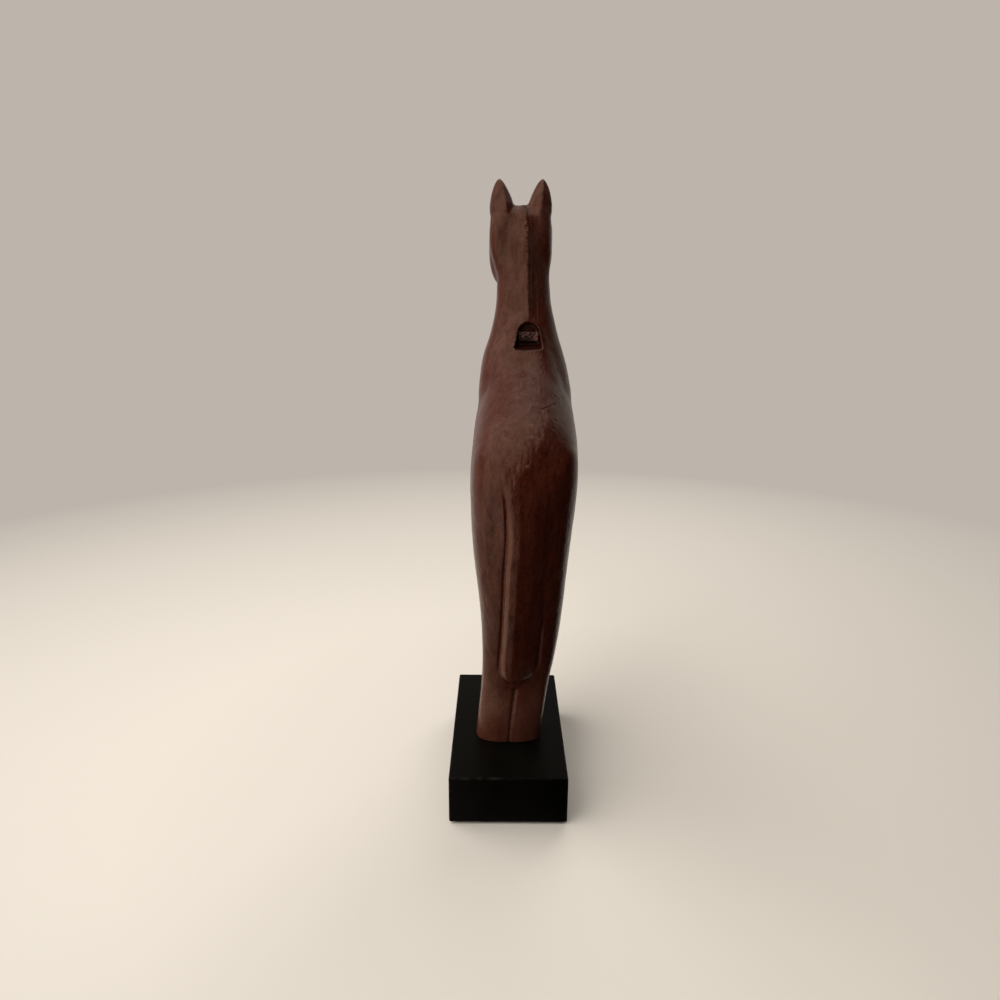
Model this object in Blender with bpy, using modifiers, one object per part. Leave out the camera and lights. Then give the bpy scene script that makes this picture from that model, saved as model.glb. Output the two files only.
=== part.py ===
"""Carved wooden horse on a black block, held by four screws driven up through the block.

The horse faces +Y and stands on a block centred on the origin. Its legs are two columns, one for the hind
pair and one for the fore pair, each parted by carved grooves. The figure leans a little to +X.
"""

import math
from collections import namedtuple

import bmesh
import bpy
from mathutils import Vector

# Block and felt, in metres
BLOCK_WIDTH = 0.089
BLOCK_LENGTH = 0.157
BLOCK_HEIGHT = 0.038
BLOCK_EDGE = 0.0012
FELT_THICKNESS = 0.0012
FELT_INSET = 0.003
SEAT_GAP = 0.0003

# Screws and washers
SCREW_DIAMETER = 0.0045
SCREW_BITE = 0.030
SCREW_POINT = 0.007
SCREW_HEAD_DIAMETER = 0.009
SCREW_HEAD_HEIGHT = 0.0032
SCREW_SLOT = 0.0012
WASHER_DIAMETER = 0.011
WASHER_THICKNESS = 0.001
COUNTERBORE_DIAMETER = 0.013
COUNTERBORE_DEPTH = 0.010
SCREW_SPACING = 0.024

# Heights of the horse above the top of the block
CROUP_HEIGHT = 0.246
WITHERS_HEIGHT = 0.300
BELLY_HEIGHT = 0.150
POLL_HEIGHT = 0.410
EAR_LENGTH = 0.027
TAIL_TIP_HEIGHT = 0.053
POCKET_FLOOR_HEIGHT = 0.305

# Places along the horse, from the middle of the block
RUMP_Y = -0.061
POCKET_MOUTH_Y = 0.0275
CHEST_Y = 0.089
HIND_HOOF_Y = -0.0155
FORE_HOOF_Y = 0.046
NECK_Y = 0.062

# Widths and depths of the horse
HIP_WIDTH = 0.0775
BARREL_WIDTH = 0.0800
SHOULDER_WIDTH = 0.0735
NECK_WIDTH = 0.0420
HEAD_WIDTH = 0.0505
HIND_HOOF_WIDTH = 0.0525
FORE_HOOF_WIDTH = 0.044
HOOF_LENGTH = 0.032
HEAD_LENGTH = 0.104
HEAD_DROP = math.radians(43)
EAR_SPACING = 0.0294
EAR_WIDTH = 0.0190
MANE_WIDTH = 0.0360
TAIL_WIDTH = 0.029
SPINE_RIDGE = 0.06

# The figure's hand-cut middle line, as (height above the block, offset towards +X)
MIDLINE = [
    (0.000, 0.0006),
    (0.020, 0.0024),
    (0.045, 0.0052),
    (0.075, 0.0080),
    (0.110, 0.0092),
    (0.165, 0.0086),
    (0.217, 0.0102),
    (0.260, 0.0118),
    (0.300, 0.0106),
    (0.322, 0.0108),
    (0.350, 0.0100),
    (0.380, 0.0098),
    (0.410, 0.0078),
]
HEAD_OFFSET = 0.0078
EAR_OFFSET = -0.0006

# Carved cuts
GROOVE_WIDTH = 0.0054
GROOVE_FOOT_WIDTH = 0.0022
GROOVE_DEPTH = 0.0020
POCKET_WIDTH = 0.0214
POCKET_HEIGHT = 0.0208
POCKET_DEPTH = 0.011
POCKET_TAPER = 0.0016
POCKET_NARROWING = 0.82
POCKET_OFFSET = 0.0031
STUB_HEIGHT = 0.007
STUB_DEPTH = 0.005
STUB_DROP = 0.0015
MOUTH_WIDTH = 0.0012
MOUTH_LENGTH = 0.020
NOSTRIL_WIDTH = 0.0055
EYE_LENGTH = 0.011
EAR_HOLLOW_WIDTH = 0.0095
EAR_HOLLOW_DEPTH = 0.0045

# Fineness of the carved surface
VOXEL = 0.0022
SMOOTH_PASSES = 14
KEPT_FACES = 0.09
LOFT_STEPS = 6
LOFT_SIDES = 40

DECK = FELT_THICKNESS + SEAT_GAP + BLOCK_HEIGHT
SOLE = SEAT_GAP
BELOW_SOLE = -0.010

Section = namedtuple("Section", "y h half_width half_depth tilt x", defaults=(0.0, 0.0))


def clear_scene():
    for obj in list(bpy.data.objects):
        bpy.data.objects.remove(obj, do_unlink=True)


def new_collection(name):
    collection = bpy.data.collections.new(name)
    bpy.context.scene.collection.children.link(collection)
    return collection


def material(name, color, roughness, metallic=0.0):
    made = bpy.data.materials.new(name)
    made.use_nodes = True
    shader = made.node_tree.nodes["Principled BSDF"]
    shader.inputs["Base Color"].default_value = (*color, 1.0)
    shader.inputs["Roughness"].default_value = roughness
    shader.inputs["Metallic"].default_value = metallic
    return made


def mix(low, high, share):
    return low + (high - low) * share


def drift(h):
    """Sideways offset of the figure's middle at a height above the block."""
    last = len(MIDLINE) - 1
    h = min(max(h, MIDLINE[0][0]), MIDLINE[last][0])
    start = max(i for i in range(last) if MIDLINE[i][0] <= h)

    def slope(i):
        before, after = MIDLINE[max(i - 1, 0)], MIDLINE[min(i + 1, last)]
        return (after[1] - before[1]) / (after[0] - before[0])

    (low, p), (high, q) = MIDLINE[start], MIDLINE[start + 1]
    span = high - low
    t = (h - low) / span
    bend = span * (t * (1 - t) ** 2 * slope(start) - t * t * (1 - t) * slope(start + 1))
    return mix(p, q, t * t * (3 - 2 * t)) + bend


def between(sections, steps):
    """The sections with smooth ones added between them, by a Catmull-Rom curve through each value."""
    padded = [sections[0], *sections, sections[-1]]
    made = []
    for a, b, c, d in zip(padded, padded[1:], padded[2:], padded[3:]):
        for step in range(steps):
            t = step / steps
            values = []
            for p, q, r, s in zip(a, b, c, d):
                bend = (2 * p - 5 * q + 4 * r - s) * t**2 + (3 * q - p - 3 * r + s) * t**3
                values.append(0.5 * (2 * q + (r - p) * t + bend))
            made.append(Section(*values))
    return [*made, sections[-1]]


def ellipse(squareness):
    """Points of a unit superellipse: 1 is a diamond, 2 a circle and more is squarer."""
    points = []
    for side in range(LOFT_SIDES):
        angle = 2 * math.pi * side / LOFT_SIDES
        unit = (math.cos(angle), math.sin(angle))
        points.append(tuple(math.copysign(abs(value) ** (2 / squareness), value) for value in unit))
    return points


def ridged(outline, rise):
    """An outline with its top raised to a blunt ridge by a share of its height."""
    return [(u, v * (1 + rise * (1 - abs(u)) ** 1.5) if v > 0 else v) for u, v in outline]


def head_middle(h):
    """Sideways offset of the head, the same at each height."""
    return HEAD_OFFSET


def add_loft(mesh, sections, outline, steps=LOFT_STEPS, sway=drift):
    """Adds a closed tube through the sections. Each ring spans X and a direction tilted up from +Y."""
    rings = []
    for section in between(sections, steps):
        ring = []
        for u, v in outline:
            reach = v * section.half_depth
            y = section.y + reach * math.cos(section.tilt)
            h = section.h + reach * math.sin(section.tilt)
            ring.append(mesh.verts.new((sway(h) + section.x + u * section.half_width, y, DECK + h)))
        rings.append(ring)
    made = [mesh.faces.new(rings[0]), mesh.faces.new(rings[-1])]
    for low, high in zip(rings, rings[1:]):
        for i in range(len(outline)):
            j = (i + 1) % len(outline)
            made.append(mesh.faces.new((low[i], low[j], high[j], high[i])))
    bmesh.ops.recalc_face_normals(mesh, faces=made)


def object_from(mesh, name, collection):
    data = bpy.data.meshes.new(name)
    mesh.to_mesh(data)
    mesh.free()
    obj = bpy.data.objects.new(name, data)
    collection.objects.link(obj)
    return obj


def loft_object(name, sections, outline, collection, steps=LOFT_STEPS, sway=drift):
    mesh = bmesh.new()
    add_loft(mesh, sections, outline, steps, sway)
    return object_from(mesh, name, collection)


def helper(obj):
    obj.hide_render = True
    obj.display_type = "WIRE"
    return obj


def boolean(obj, other, operation):
    modifier = obj.modifiers.new(f"{operation.lower()}_{other.name}", "BOOLEAN")
    modifier.operation = operation
    modifier.object = other
    modifier.solver = "EXACT"


def box(name, size, centre, collection):
    mesh = bmesh.new()
    bmesh.ops.create_cube(mesh, size=1.0)
    bmesh.ops.scale(mesh, vec=size, verts=mesh.verts)
    obj = object_from(mesh, name, collection)
    obj.location = centre
    return obj


def cylinder(name, diameter, low, high, place, collection, sides=24):
    mesh = bmesh.new()
    bmesh.ops.create_cone(
        mesh, cap_ends=True, segments=sides, radius1=diameter / 2, radius2=diameter / 2, depth=high - low
    )
    obj = object_from(mesh, name, collection)
    obj.location = (place[0], place[1], (low + high) / 2)
    return obj


def ellipsoid(name, radii, centre, collection, segments=16):
    mesh = bmesh.new()
    bmesh.ops.create_uvsphere(mesh, u_segments=segments, v_segments=segments // 2, radius=1.0)
    bmesh.ops.scale(mesh, vec=radii, verts=mesh.verts)
    obj = object_from(mesh, name, collection)
    obj.location = centre
    return obj


def turned(name, profile, closed, place, collection, sides=20):
    """A shape turned about a vertical axis, from (radius, height) points down its outer side."""
    data = bpy.data.meshes.new(name)
    count = len(profile)
    edges = [(i, i + 1) for i in range(count - 1)]
    if closed:
        edges.append((count - 1, 0))
    data.from_pydata([(radius, 0, height) for radius, height in profile], edges, [])
    obj = bpy.data.objects.new(name, data)
    obj.location = (place[0], place[1], 0)
    collection.objects.link(obj)
    screw = obj.modifiers.new("turn", "SCREW")
    screw.steps = screw.render_steps = sides
    screw.use_merge_vertices = True
    screw.merge_threshold = 0.00001
    screw.use_smooth_shade = True
    return obj


def hind_column():
    """The hind legs and haunches, from below the soles to inside the croup."""
    foot = HIND_HOOF_WIDTH / 2
    hip = HIP_WIDTH / 2
    half = HOOF_LENGTH / 2
    return [
        Section(HIND_HOOF_Y, BELOW_SOLE, foot, half),
        Section(HIND_HOOF_Y, 0.008, foot + 0.0002, half),
        Section(HIND_HOOF_Y - 0.0005, 0.024, foot + 0.0002, half - 0.0015),
        Section(HIND_HOOF_Y, 0.047, foot + 0.0006, half - 0.002),
        Section(HIND_HOOF_Y - 0.0035, 0.085, mix(foot, hip, 0.26), half + 0.001),
        Section(HIND_HOOF_Y - 0.0065, 0.125, mix(foot, hip, 0.50), half + 0.009),
        Section(HIND_HOOF_Y - 0.0055, 0.161, mix(foot, hip, 0.78), half + 0.016),
        Section(HIND_HOOF_Y - 0.0045, 0.195, mix(foot, hip, 0.98), half + 0.022),
        Section(HIND_HOOF_Y - 0.0055, 0.217, hip, half + 0.022),
        Section(HIND_HOOF_Y - 0.0065, 0.236, mix(foot, hip, 0.85), half + 0.015),
        Section(HIND_HOOF_Y - 0.0065, 0.250, mix(foot, hip, 0.10), half + 0.002),
    ]


def fore_column():
    """The forelegs, from below the soles to inside the shoulders."""
    foot = FORE_HOOF_WIDTH / 2
    shoulder = SHOULDER_WIDTH / 2
    half = HOOF_LENGTH / 2
    return [
        Section(FORE_HOOF_Y, BELOW_SOLE, foot, half - 0.0005),
        Section(FORE_HOOF_Y, 0.008, foot, half - 0.0005),
        Section(FORE_HOOF_Y - 0.002, 0.024, foot - 0.001, half - 0.003),
        Section(FORE_HOOF_Y - 0.0005, 0.050, foot - 0.0015, half - 0.0055),
        Section(FORE_HOOF_Y + 0.001, 0.086, foot, half - 0.0035),
        Section(FORE_HOOF_Y + 0.003, 0.125, mix(foot, shoulder, 0.2), half - 0.0005),
        Section(FORE_HOOF_Y + 0.007, 0.165, mix(foot, shoulder, 0.55), half + 0.007),
        Section(FORE_HOOF_Y + 0.010, 0.200, mix(foot, shoulder, 0.85), half + 0.012),
        Section(FORE_HOOF_Y + 0.012, 0.235, mix(foot, shoulder, 0.7), half + 0.006),
    ]


def trunk():
    """The barrel from rump to chest, as upright rings. The back rises from the croup to the withers."""
    upright = math.pi / 2
    hip, barrel, shoulder = HIP_WIDTH / 2, BARREL_WIDTH / 2, SHOULDER_WIDTH / 2
    rise = WITHERS_HEIGHT - CROUP_HEIGHT
    shape = [
        (RUMP_Y, CROUP_HEIGHT - 0.026, CROUP_HEIGHT - 0.046, 0.007),
        (RUMP_Y + 0.004, CROUP_HEIGHT - 0.014, CROUP_HEIGHT - 0.062, 0.020),
        (RUMP_Y + 0.013, CROUP_HEIGHT, BELLY_HEIGHT + 0.025, hip - 0.006),
        (RUMP_Y + 0.028, CROUP_HEIGHT + 0.25 * rise, BELLY_HEIGHT + 0.014, hip - 0.001),
        (RUMP_Y + 0.050, CROUP_HEIGHT + 0.50 * rise, BELLY_HEIGHT + 0.006, barrel),
        (mix(RUMP_Y, CHEST_Y, 0.5), CROUP_HEIGHT + 0.77 * rise, BELLY_HEIGHT, barrel),
        (CHEST_Y - 0.050, WITHERS_HEIGHT - 0.006, BELLY_HEIGHT, barrel),
        (CHEST_Y - 0.028, WITHERS_HEIGHT - 0.012, BELLY_HEIGHT + 0.010, shoulder),
        (CHEST_Y - 0.013, WITHERS_HEIGHT - 0.022, BELLY_HEIGHT + 0.028, shoulder - 0.007),
        (CHEST_Y - 0.003, WITHERS_HEIGHT - 0.042, BELLY_HEIGHT + 0.050, shoulder - 0.019),
        (CHEST_Y, WITHERS_HEIGHT - 0.060, BELLY_HEIGHT + 0.066, 0.007),
    ]
    return [Section(y, (top + low) / 2, width, (top - low) / 2, upright) for y, top, low, width in shape]


def withers():
    """The hollow rise from the back to the crest of the neck, as upright rings."""
    shape = [
        (-0.088, -0.038, 0.010),
        (-0.076, -0.0295, 0.020),
        (-0.062, -0.0200, 0.027),
        (-0.050, -0.0095, 0.030),
        (-0.040, 0.0020, 0.029),
        (-0.032, 0.0150, 0.026),
        (-0.026, 0.0280, 0.022),
        (-0.021, 0.0370, 0.014),
    ]
    sections = []
    for ahead, climb, width in shape:
        top, low = WITHERS_HEIGHT + climb, WITHERS_HEIGHT - 0.065
        sections.append(Section(NECK_Y + ahead, (top + low) / 2, width, (top - low) / 2, math.pi / 2))
    return sections


def neck():
    """The neck, from inside the shoulders to the poll, by its crest and throat lines."""
    shoulder, throat = SHOULDER_WIDTH / 2, NECK_WIDTH / 2
    rise = POLL_HEIGHT - WITHERS_HEIGHT
    shape = [
        (WITHERS_HEIGHT - 0.090, NECK_Y - 0.040, NECK_Y + 0.012, shoulder - 0.004),
        (WITHERS_HEIGHT - 0.040, NECK_Y - 0.060, NECK_Y + 0.019, shoulder),
        (WITHERS_HEIGHT - 0.017, NECK_Y - 0.047, NECK_Y + 0.0195, shoulder - 0.0015),
        (WITHERS_HEIGHT, NECK_Y - 0.036, NECK_Y + 0.0195, mix(throat, shoulder, 0.68)),
        (WITHERS_HEIGHT + 0.13 * rise, NECK_Y - 0.029, NECK_Y + 0.018, mix(throat, shoulder, 0.38)),
        (WITHERS_HEIGHT + 0.32 * rise, NECK_Y - 0.0215, NECK_Y + 0.016, mix(throat, shoulder, 0.08)),
        (WITHERS_HEIGHT + 0.46 * rise, NECK_Y - 0.018, NECK_Y + 0.016, throat),
        (WITHERS_HEIGHT + 0.66 * rise, NECK_Y - 0.015, NECK_Y + 0.017, throat - 0.001),
        (WITHERS_HEIGHT + 0.84 * rise, NECK_Y - 0.013, NECK_Y + 0.019, throat - 0.0015),
        (WITHERS_HEIGHT + 0.95 * rise, NECK_Y - 0.009, NECK_Y + 0.020, throat - 0.003),
        (POLL_HEIGHT + 0.0015, NECK_Y - 0.002, NECK_Y + 0.014, throat - 0.011),
    ]
    return [
        Section((crest + front) / 2, h, width, (front - crest) / 2) for h, crest, front, width in shape
    ]


def cheeks():
    """The flat-sided cheeks and jaw, wider than the neck behind them."""
    half = HEAD_WIDTH / 2
    shape = [
        (-0.061, 0.0160, 0.45, 0.0080),
        (-0.057, 0.0160, 0.74, 0.0130),
        (-0.048, 0.0160, 0.92, 0.0170),
        (-0.037, 0.0160, 1.00, 0.0190),
        (-0.020, 0.0140, 1.00, 0.0180),
        (-0.010, 0.0100, 0.95, 0.0135),
        (-0.004, 0.0080, 0.60, 0.0075),
    ]
    return [
        Section(NECK_Y + ahead, POLL_HEIGHT + drop, share * half, depth)
        for drop, ahead, share, depth in shape
    ]


def head_point(distance):
    """(y, h) of the head's axis at a distance from the back of the skull."""
    return (
        NECK_Y - 0.010 + distance * math.cos(HEAD_DROP),
        POLL_HEIGHT - 0.010 - distance * math.sin(HEAD_DROP),
    )


def head():
    """The skull, cheeks and muzzle, as rings square to the head's own axis."""
    tilt = math.pi / 2 - HEAD_DROP
    cheek = HEAD_WIDTH / 2 - 0.001
    shape = [
        (0.020, 0.30, 0.006),
        (0.075, 0.66, 0.0130),
        (0.175, 0.95, 0.0205),
        (0.330, 0.98, 0.0250),
        (0.520, 0.76, 0.0205),
        (0.710, 0.59, 0.0160),
        (0.870, 0.55, 0.0143),
        (0.965, 0.44, 0.0112),
        (1.000, 0.22, 0.0055),
    ]
    return [
        Section(*head_point(share * HEAD_LENGTH), width * cheek, depth, tilt) for share, width, depth in shape
    ]


def ear_sections(side, shape):
    """Sections of one ear, from (height, distance behind the neck's middle, half width, half depth, lean)."""
    middle = EAR_OFFSET + side * EAR_SPACING / 2
    return [
        Section(NECK_Y - back, h, width, depth, 0.0, middle + side * out)
        for h, back, width, depth, out in shape
    ]


def ear_root(side):
    """The side of the skull under one ear, flush with the back of the ear."""
    half = EAR_WIDTH / 2
    shape = [
        (POLL_HEIGHT - 0.056, -0.0080, half - 0.0050, 0.0050, -0.0030),
        (POLL_HEIGHT - 0.044, 0.0000, half - 0.0022, 0.0068, -0.0016),
        (POLL_HEIGHT - 0.028, 0.0044, half - 0.0002, 0.0078, -0.0006),
        (POLL_HEIGHT - 0.012, 0.0060, half, 0.0076, -0.0004),
        (POLL_HEIGHT, 0.0054, half - 0.0002, 0.0066, 0.0),
        (POLL_HEIGHT + 0.006, 0.0040, half - 0.0016, 0.0040, 0.0004),
    ]
    return ear_sections(side, shape)


def ear(side):
    """One pricked ear, from inside the skull to its tip."""
    half = EAR_WIDTH / 2
    tip = POLL_HEIGHT + EAR_LENGTH - 0.0065
    shape = [
        (POLL_HEIGHT - 0.022, 0.0020, half - 0.0030, 0.0050, -0.0004),
        (POLL_HEIGHT - 0.008, 0.0054, half - 0.0003, 0.0070, -0.0003),
        (POLL_HEIGHT, 0.0056, half, 0.0070, 0.0),
        (mix(POLL_HEIGHT, tip, 0.27), 0.0044, half - 0.0010, 0.0060, 0.0005),
        (mix(POLL_HEIGHT, tip, 0.58), 0.0026, half - 0.0032, 0.0048, 0.0012),
        (mix(POLL_HEIGHT, tip, 0.87), 0.0010, half - 0.0062, 0.0030, 0.0017),
        (tip, 0.0010, 0.0006, 0.0006, 0.0019),
    ]
    return ear_sections(side, shape)


def ear_outline(side):
    """A roof-backed section. The left ear's ridge stands nearer its inner edge than the right ear's does."""
    ridge = 0.35 if side < 0 else 0.08
    front = [(1, 0.3), (0.55, 1), (-0.55, 1), (-1, 0.3)]
    back = [(-0.85, -0.35), (ridge - 0.14, -0.96), (ridge + 0.10, -0.96), (0.9, -0.25)]
    return front + back


def crest():
    """The hogged mane and the flat back of the skull, from behind the pocket up to between the ears."""
    mane, skull = MANE_WIDTH / 2, HEAD_WIDTH / 2
    shape = [
        (0.08, -0.0310, mane, 0.0120, 0.0010),
        (0.22, -0.0262, mane, 0.0125, 0.0008),
        (0.38, -0.0228, mane, 0.0125, 0.0006),
        (0.50, -0.0208, mane + 0.0015, 0.0118, 0.0004),
        (0.64, -0.0194, mix(mane, skull, 0.50), 0.0105, -0.0004),
        (0.78, -0.0180, mix(mane, skull, 0.55), 0.0096, -0.0006),
        (0.88, -0.0164, mix(mane, skull, 0.25), 0.0090, -0.0002),
        (0.95, -0.0138, 0.0130, 0.0085, 0.0006),
        (1.01, -0.0085, 0.0055, 0.0065, 0.0012),
    ]
    return [
        Section(NECK_Y + ridge + depth, mix(POCKET_FLOOR_HEIGHT, POLL_HEIGHT, share), width, depth, 0.0, x)
        for share, ridge, width, depth, x in shape
    ]


def crest_outline():
    """A roof-like section, its ridge towards -Y and nearer +X, with a steep facet on that side."""
    left = [(-1, 0.05), (-0.46, -0.52), (0.06, -0.97)]
    right = [(0.14, -1), (0.22, -0.92), (0.46, -0.40), (1, 0.05)]
    return [(1, 1), (-1, 1), *left, *right]


def ridge_outline():
    """The part of the crest's section near its ridge, just inside its left plane."""
    ridge = [(0.06, -0.97), (0.14, -1), (0.22, -0.92), (0.46, -0.40)]
    return [(0.8, 1), (-0.40, 1), (-0.40, -0.54), *ridge, (0.8, -0.12)]


def tail():
    """The tail, a bevelled band in relief down the back of the hind legs."""
    half = TAIL_WIDTH / 2
    back = HIND_HOOF_Y - HOOF_LENGTH / 2
    tip = TAIL_TIP_HEIGHT
    return [
        Section(back + 0.0030, tip, 0.005, 0.0060),
        Section(back + 0.0024, tip + 0.004, half - 0.0040, 0.0076),
        Section(back + 0.0008, tip + 0.015, half - 0.0002, 0.0082),
        Section(back - 0.0034, tip + 0.037, half, 0.0082),
        Section(back - 0.0123, tip + 0.067, half, 0.0080, 0.0, 0.0008),
        Section(back - 0.0185, tip + 0.097, half, 0.0076, 0.0, 0.0022),
        Section(back - 0.0230, tip + 0.125, half, 0.0068, 0.0, 0.0034),
        Section(back - 0.0252, tip + 0.146, half + 0.0010, 0.0054, 0.0, 0.0028),
        Section(back - 0.0262, tip + 0.162, half + 0.0020, 0.0032, 0.0, 0.0018),
        Section(back - 0.0240, tip + 0.176, half + 0.0020, 0.0020),
        Section(back - 0.0180, tip + 0.186, half, 0.0020),
    ]


def tail_outline():
    """A band with bevelled shoulders and a slight ridge, its right edge lower, with its back towards -Y."""
    left = [(-1.0, -0.15), (-0.62, -0.80)]
    right = [(0.55, -0.76), (1.0, -0.35)]
    return [(1.0, 1.0), (-1.0, 1.0), *left, (0.0, -1.0), *right]


def groove(name, column, side, top, collection):
    """A V cut down the middle of one face of a leg column, from below its soles to a height."""
    reach = [s for s in between(column, LOFT_STEPS) if s.h <= top][:: LOFT_STEPS // 2]
    cut = []
    for s in reach:
        half = mix(GROOVE_FOOT_WIDTH, GROOVE_WIDTH, max(s.h, 0) / top) / 2
        cut.append(Section(s.y + side * s.half_depth, s.h, half, GROOVE_DEPTH))
    return helper(loft_object(name, cut, [(1, 0), (0, 1), (-1, 0), (0, -1)], collection, steps=1))


def pocket_outline():
    """The arch of the pocket's opening, as a share of half its width and half its height."""
    arch = 1 - POCKET_TAPER / (POCKET_WIDTH / 2)
    rise = arch * POCKET_WIDTH / POCKET_HEIGHT
    arc = [math.pi * step / 12 for step in range(13)]
    return [(-1, -1), (1, -1)] + [(arch * math.cos(a), 1 - rise + rise * math.sin(a)) for a in arc]


def pocket_section(y):
    """The pocket's ring at a place along the horse. It narrows from its mouth to its back wall."""
    share = mix(1.0, POCKET_NARROWING, (y - POCKET_MOUTH_Y) / POCKET_DEPTH)
    middle = POCKET_FLOOR_HEIGHT + POCKET_HEIGHT / 2
    half_width, half_height = share * POCKET_WIDTH / 2, share * POCKET_HEIGHT / 2
    return Section(y, middle, half_width, half_height, math.pi / 2, POCKET_OFFSET)


def pocket_cutter(collection):
    """The arch-topped pocket at the foot of the mane."""
    sections = [pocket_section(POCKET_MOUTH_Y + share * POCKET_DEPTH) for share in (-1, 1)]
    return helper(loft_object("pocket_cutter", sections, pocket_outline(), collection, 1))


def add_face(horse, cutters):
    """Eyes, nostrils, mouth and the hollows of the ears."""
    tilt = math.pi / 2 - HEAD_DROP
    raised = Vector((0, math.cos(tilt), math.sin(tilt)))
    eye_spot = Vector((0, *head_point(0.37 * HEAD_LENGTH))) + raised * 0.009
    nose_spot = Vector((0, *head_point(0.945 * HEAD_LENGTH))) + raised * 0.006
    mouth_spot = Vector((0, *head_point(HEAD_LENGTH + 0.02 - MOUTH_LENGTH))) - raised * 0.005
    middle = Vector((HEAD_OFFSET, 0, DECK))
    hollow_rise = 0.36 * EAR_LENGTH
    for side, side_name in ((-1, "left"), (1, "right")):
        out = Vector((side, 0, 0))
        half = EYE_LENGTH / 2
        eye_place = middle + eye_spot + out * (0.445 * HEAD_WIDTH)
        eye = ellipsoid(f"eye_{side_name}", (0.0028, half, 0.6 * half), eye_place, cutters)
        eye.rotation_euler = (-0.5 * HEAD_DROP, 0, 0)
        boolean(horse, helper(eye), "UNION")
        half = NOSTRIL_WIDTH / 2
        nostril_place = middle + nose_spot + out * (0.20 * HEAD_WIDTH)
        nostril = ellipsoid(f"nostril_{side_name}", (0.0022, half, 0.8 * half), nostril_place, cutters, 12)
        boolean(horse, helper(nostril), "DIFFERENCE")
        front = ear(side)[2]
        x = EAR_OFFSET + side * EAR_SPACING / 2
        hollow_place = middle + Vector((x, front.y + front.half_depth, POLL_HEIGHT + hollow_rise))
        radii = (EAR_HOLLOW_WIDTH / 2, EAR_HOLLOW_DEPTH, 0.40 * EAR_LENGTH)
        hollow = ellipsoid(f"ear_hollow_{side_name}", radii, hollow_place, cutters)
        boolean(horse, helper(hollow), "DIFFERENCE")
    mouth = box("mouth_cutter", (HEAD_WIDTH, 0.04, MOUTH_WIDTH), middle + mouth_spot, cutters)
    mouth.rotation_euler = (-HEAD_DROP, 0, 0)
    boolean(horse, helper(mouth), "DIFFERENCE")


def screw_places():
    """(name, x, y) of the four screws, one up each leg."""
    return [
        (f"{pair}_{side_name}", side * SCREW_SPACING / 2, y)
        for pair, y in (("hind", HIND_HOOF_Y), ("fore", FORE_HOOF_Y))
        for side_name, side in (("left", -1), ("right", 1))
    ]


def make_horse(parts, cutters, wood):
    mesh = bmesh.new()
    round_outline, leg_outline = ellipse(2.1), ellipse(3.0)
    add_loft(mesh, trunk(), ridged(ellipse(2.6), SPINE_RIDGE))
    add_loft(mesh, withers(), ellipse(2.2))
    add_loft(mesh, hind_column(), leg_outline)
    add_loft(mesh, fore_column(), leg_outline)
    add_loft(mesh, neck(), ellipse(2.6))
    add_loft(mesh, cheeks(), ellipse(2.5), sway=head_middle)
    add_loft(mesh, crest(), crest_outline())
    add_loft(mesh, head(), round_outline, sway=head_middle)
    for side in (-1, 1):
        add_loft(mesh, ear_root(side), ear_outline(side), sway=head_middle)
    horse = object_from(mesh, "horse_carving", parts)
    horse.data.materials.append(wood)
    remesh = horse.modifiers.new("fuse", "REMESH")
    remesh.mode = "VOXEL"
    remesh.voxel_size = VOXEL
    smooth = horse.modifiers.new("rub_down", "SMOOTH")
    smooth.factor = 0.5
    smooth.iterations = SMOOTH_PASSES
    decimate = horse.modifiers.new("fewer_faces", "DECIMATE")
    decimate.ratio = KEPT_FACES
    for side, side_name in ((-1, "left"), (1, "right")):
        pricked = loft_object(f"ear_{side_name}", ear(side), ear_outline(side), cutters, 3, head_middle)
        boolean(horse, helper(pricked), "UNION")
    boolean(horse, helper(loft_object("mane_ridge", crest(), ridge_outline(), cutters, 3)), "UNION")
    boolean(horse, helper(loft_object("tail_band", tail(), tail_outline(), cutters, 3)), "UNION")
    boolean(horse, pocket_cutter(cutters), "DIFFERENCE")
    add_face(horse, cutters)
    for name, column, side, top in (
        ("hind_back", hind_column(), -1, TAIL_TIP_HEIGHT + 0.010),
        ("hind_front", hind_column(), 1, 0.115),
        ("fore_back", fore_column(), -1, 0.115),
        ("fore_front", fore_column(), 1, 0.150),
    ):
        boolean(horse, groove(f"groove_{name}", column, side, top, cutters), "DIFFERENCE")
    ground = box("ground_cutter", (0.3, 0.4, 0.1), (0, 0, DECK + SOLE - 0.05), cutters)
    boolean(horse, helper(ground), "DIFFERENCE")
    bore = SCREW_DIAMETER + 2 * SEAT_GAP
    for name, x, y in screw_places():
        pilot = cylinder(f"pilot_{name}", bore, DECK - 0.01, DECK + SCREW_BITE + 0.001, (x, y), cutters)
        boolean(horse, helper(pilot), "DIFFERENCE")
    return horse


def make_block(parts, cutters, paint):
    centre = FELT_THICKNESS + SEAT_GAP + BLOCK_HEIGHT / 2
    block = box("base_block", (BLOCK_WIDTH, BLOCK_LENGTH, BLOCK_HEIGHT), (0, 0, centre), parts)
    block.data.materials.append(paint)
    bevel = block.modifiers.new("eased_edges", "BEVEL")
    bevel.width = BLOCK_EDGE
    bevel.segments = 3
    under = FELT_THICKNESS + SEAT_GAP
    seat = under + COUNTERBORE_DEPTH
    bore = SCREW_DIAMETER + 2 * SEAT_GAP
    for name, x, y in screw_places():
        counterbore = cylinder(
            f"counterbore_{name}", COUNTERBORE_DIAMETER, under - 0.01, seat, (x, y), cutters
        )
        hole = cylinder(f"hole_{name}", bore, under - 0.01, DECK + 0.01, (x, y), cutters)
        boolean(block, helper(counterbore), "DIFFERENCE")
        boolean(block, helper(hole), "DIFFERENCE")
    return block


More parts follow.
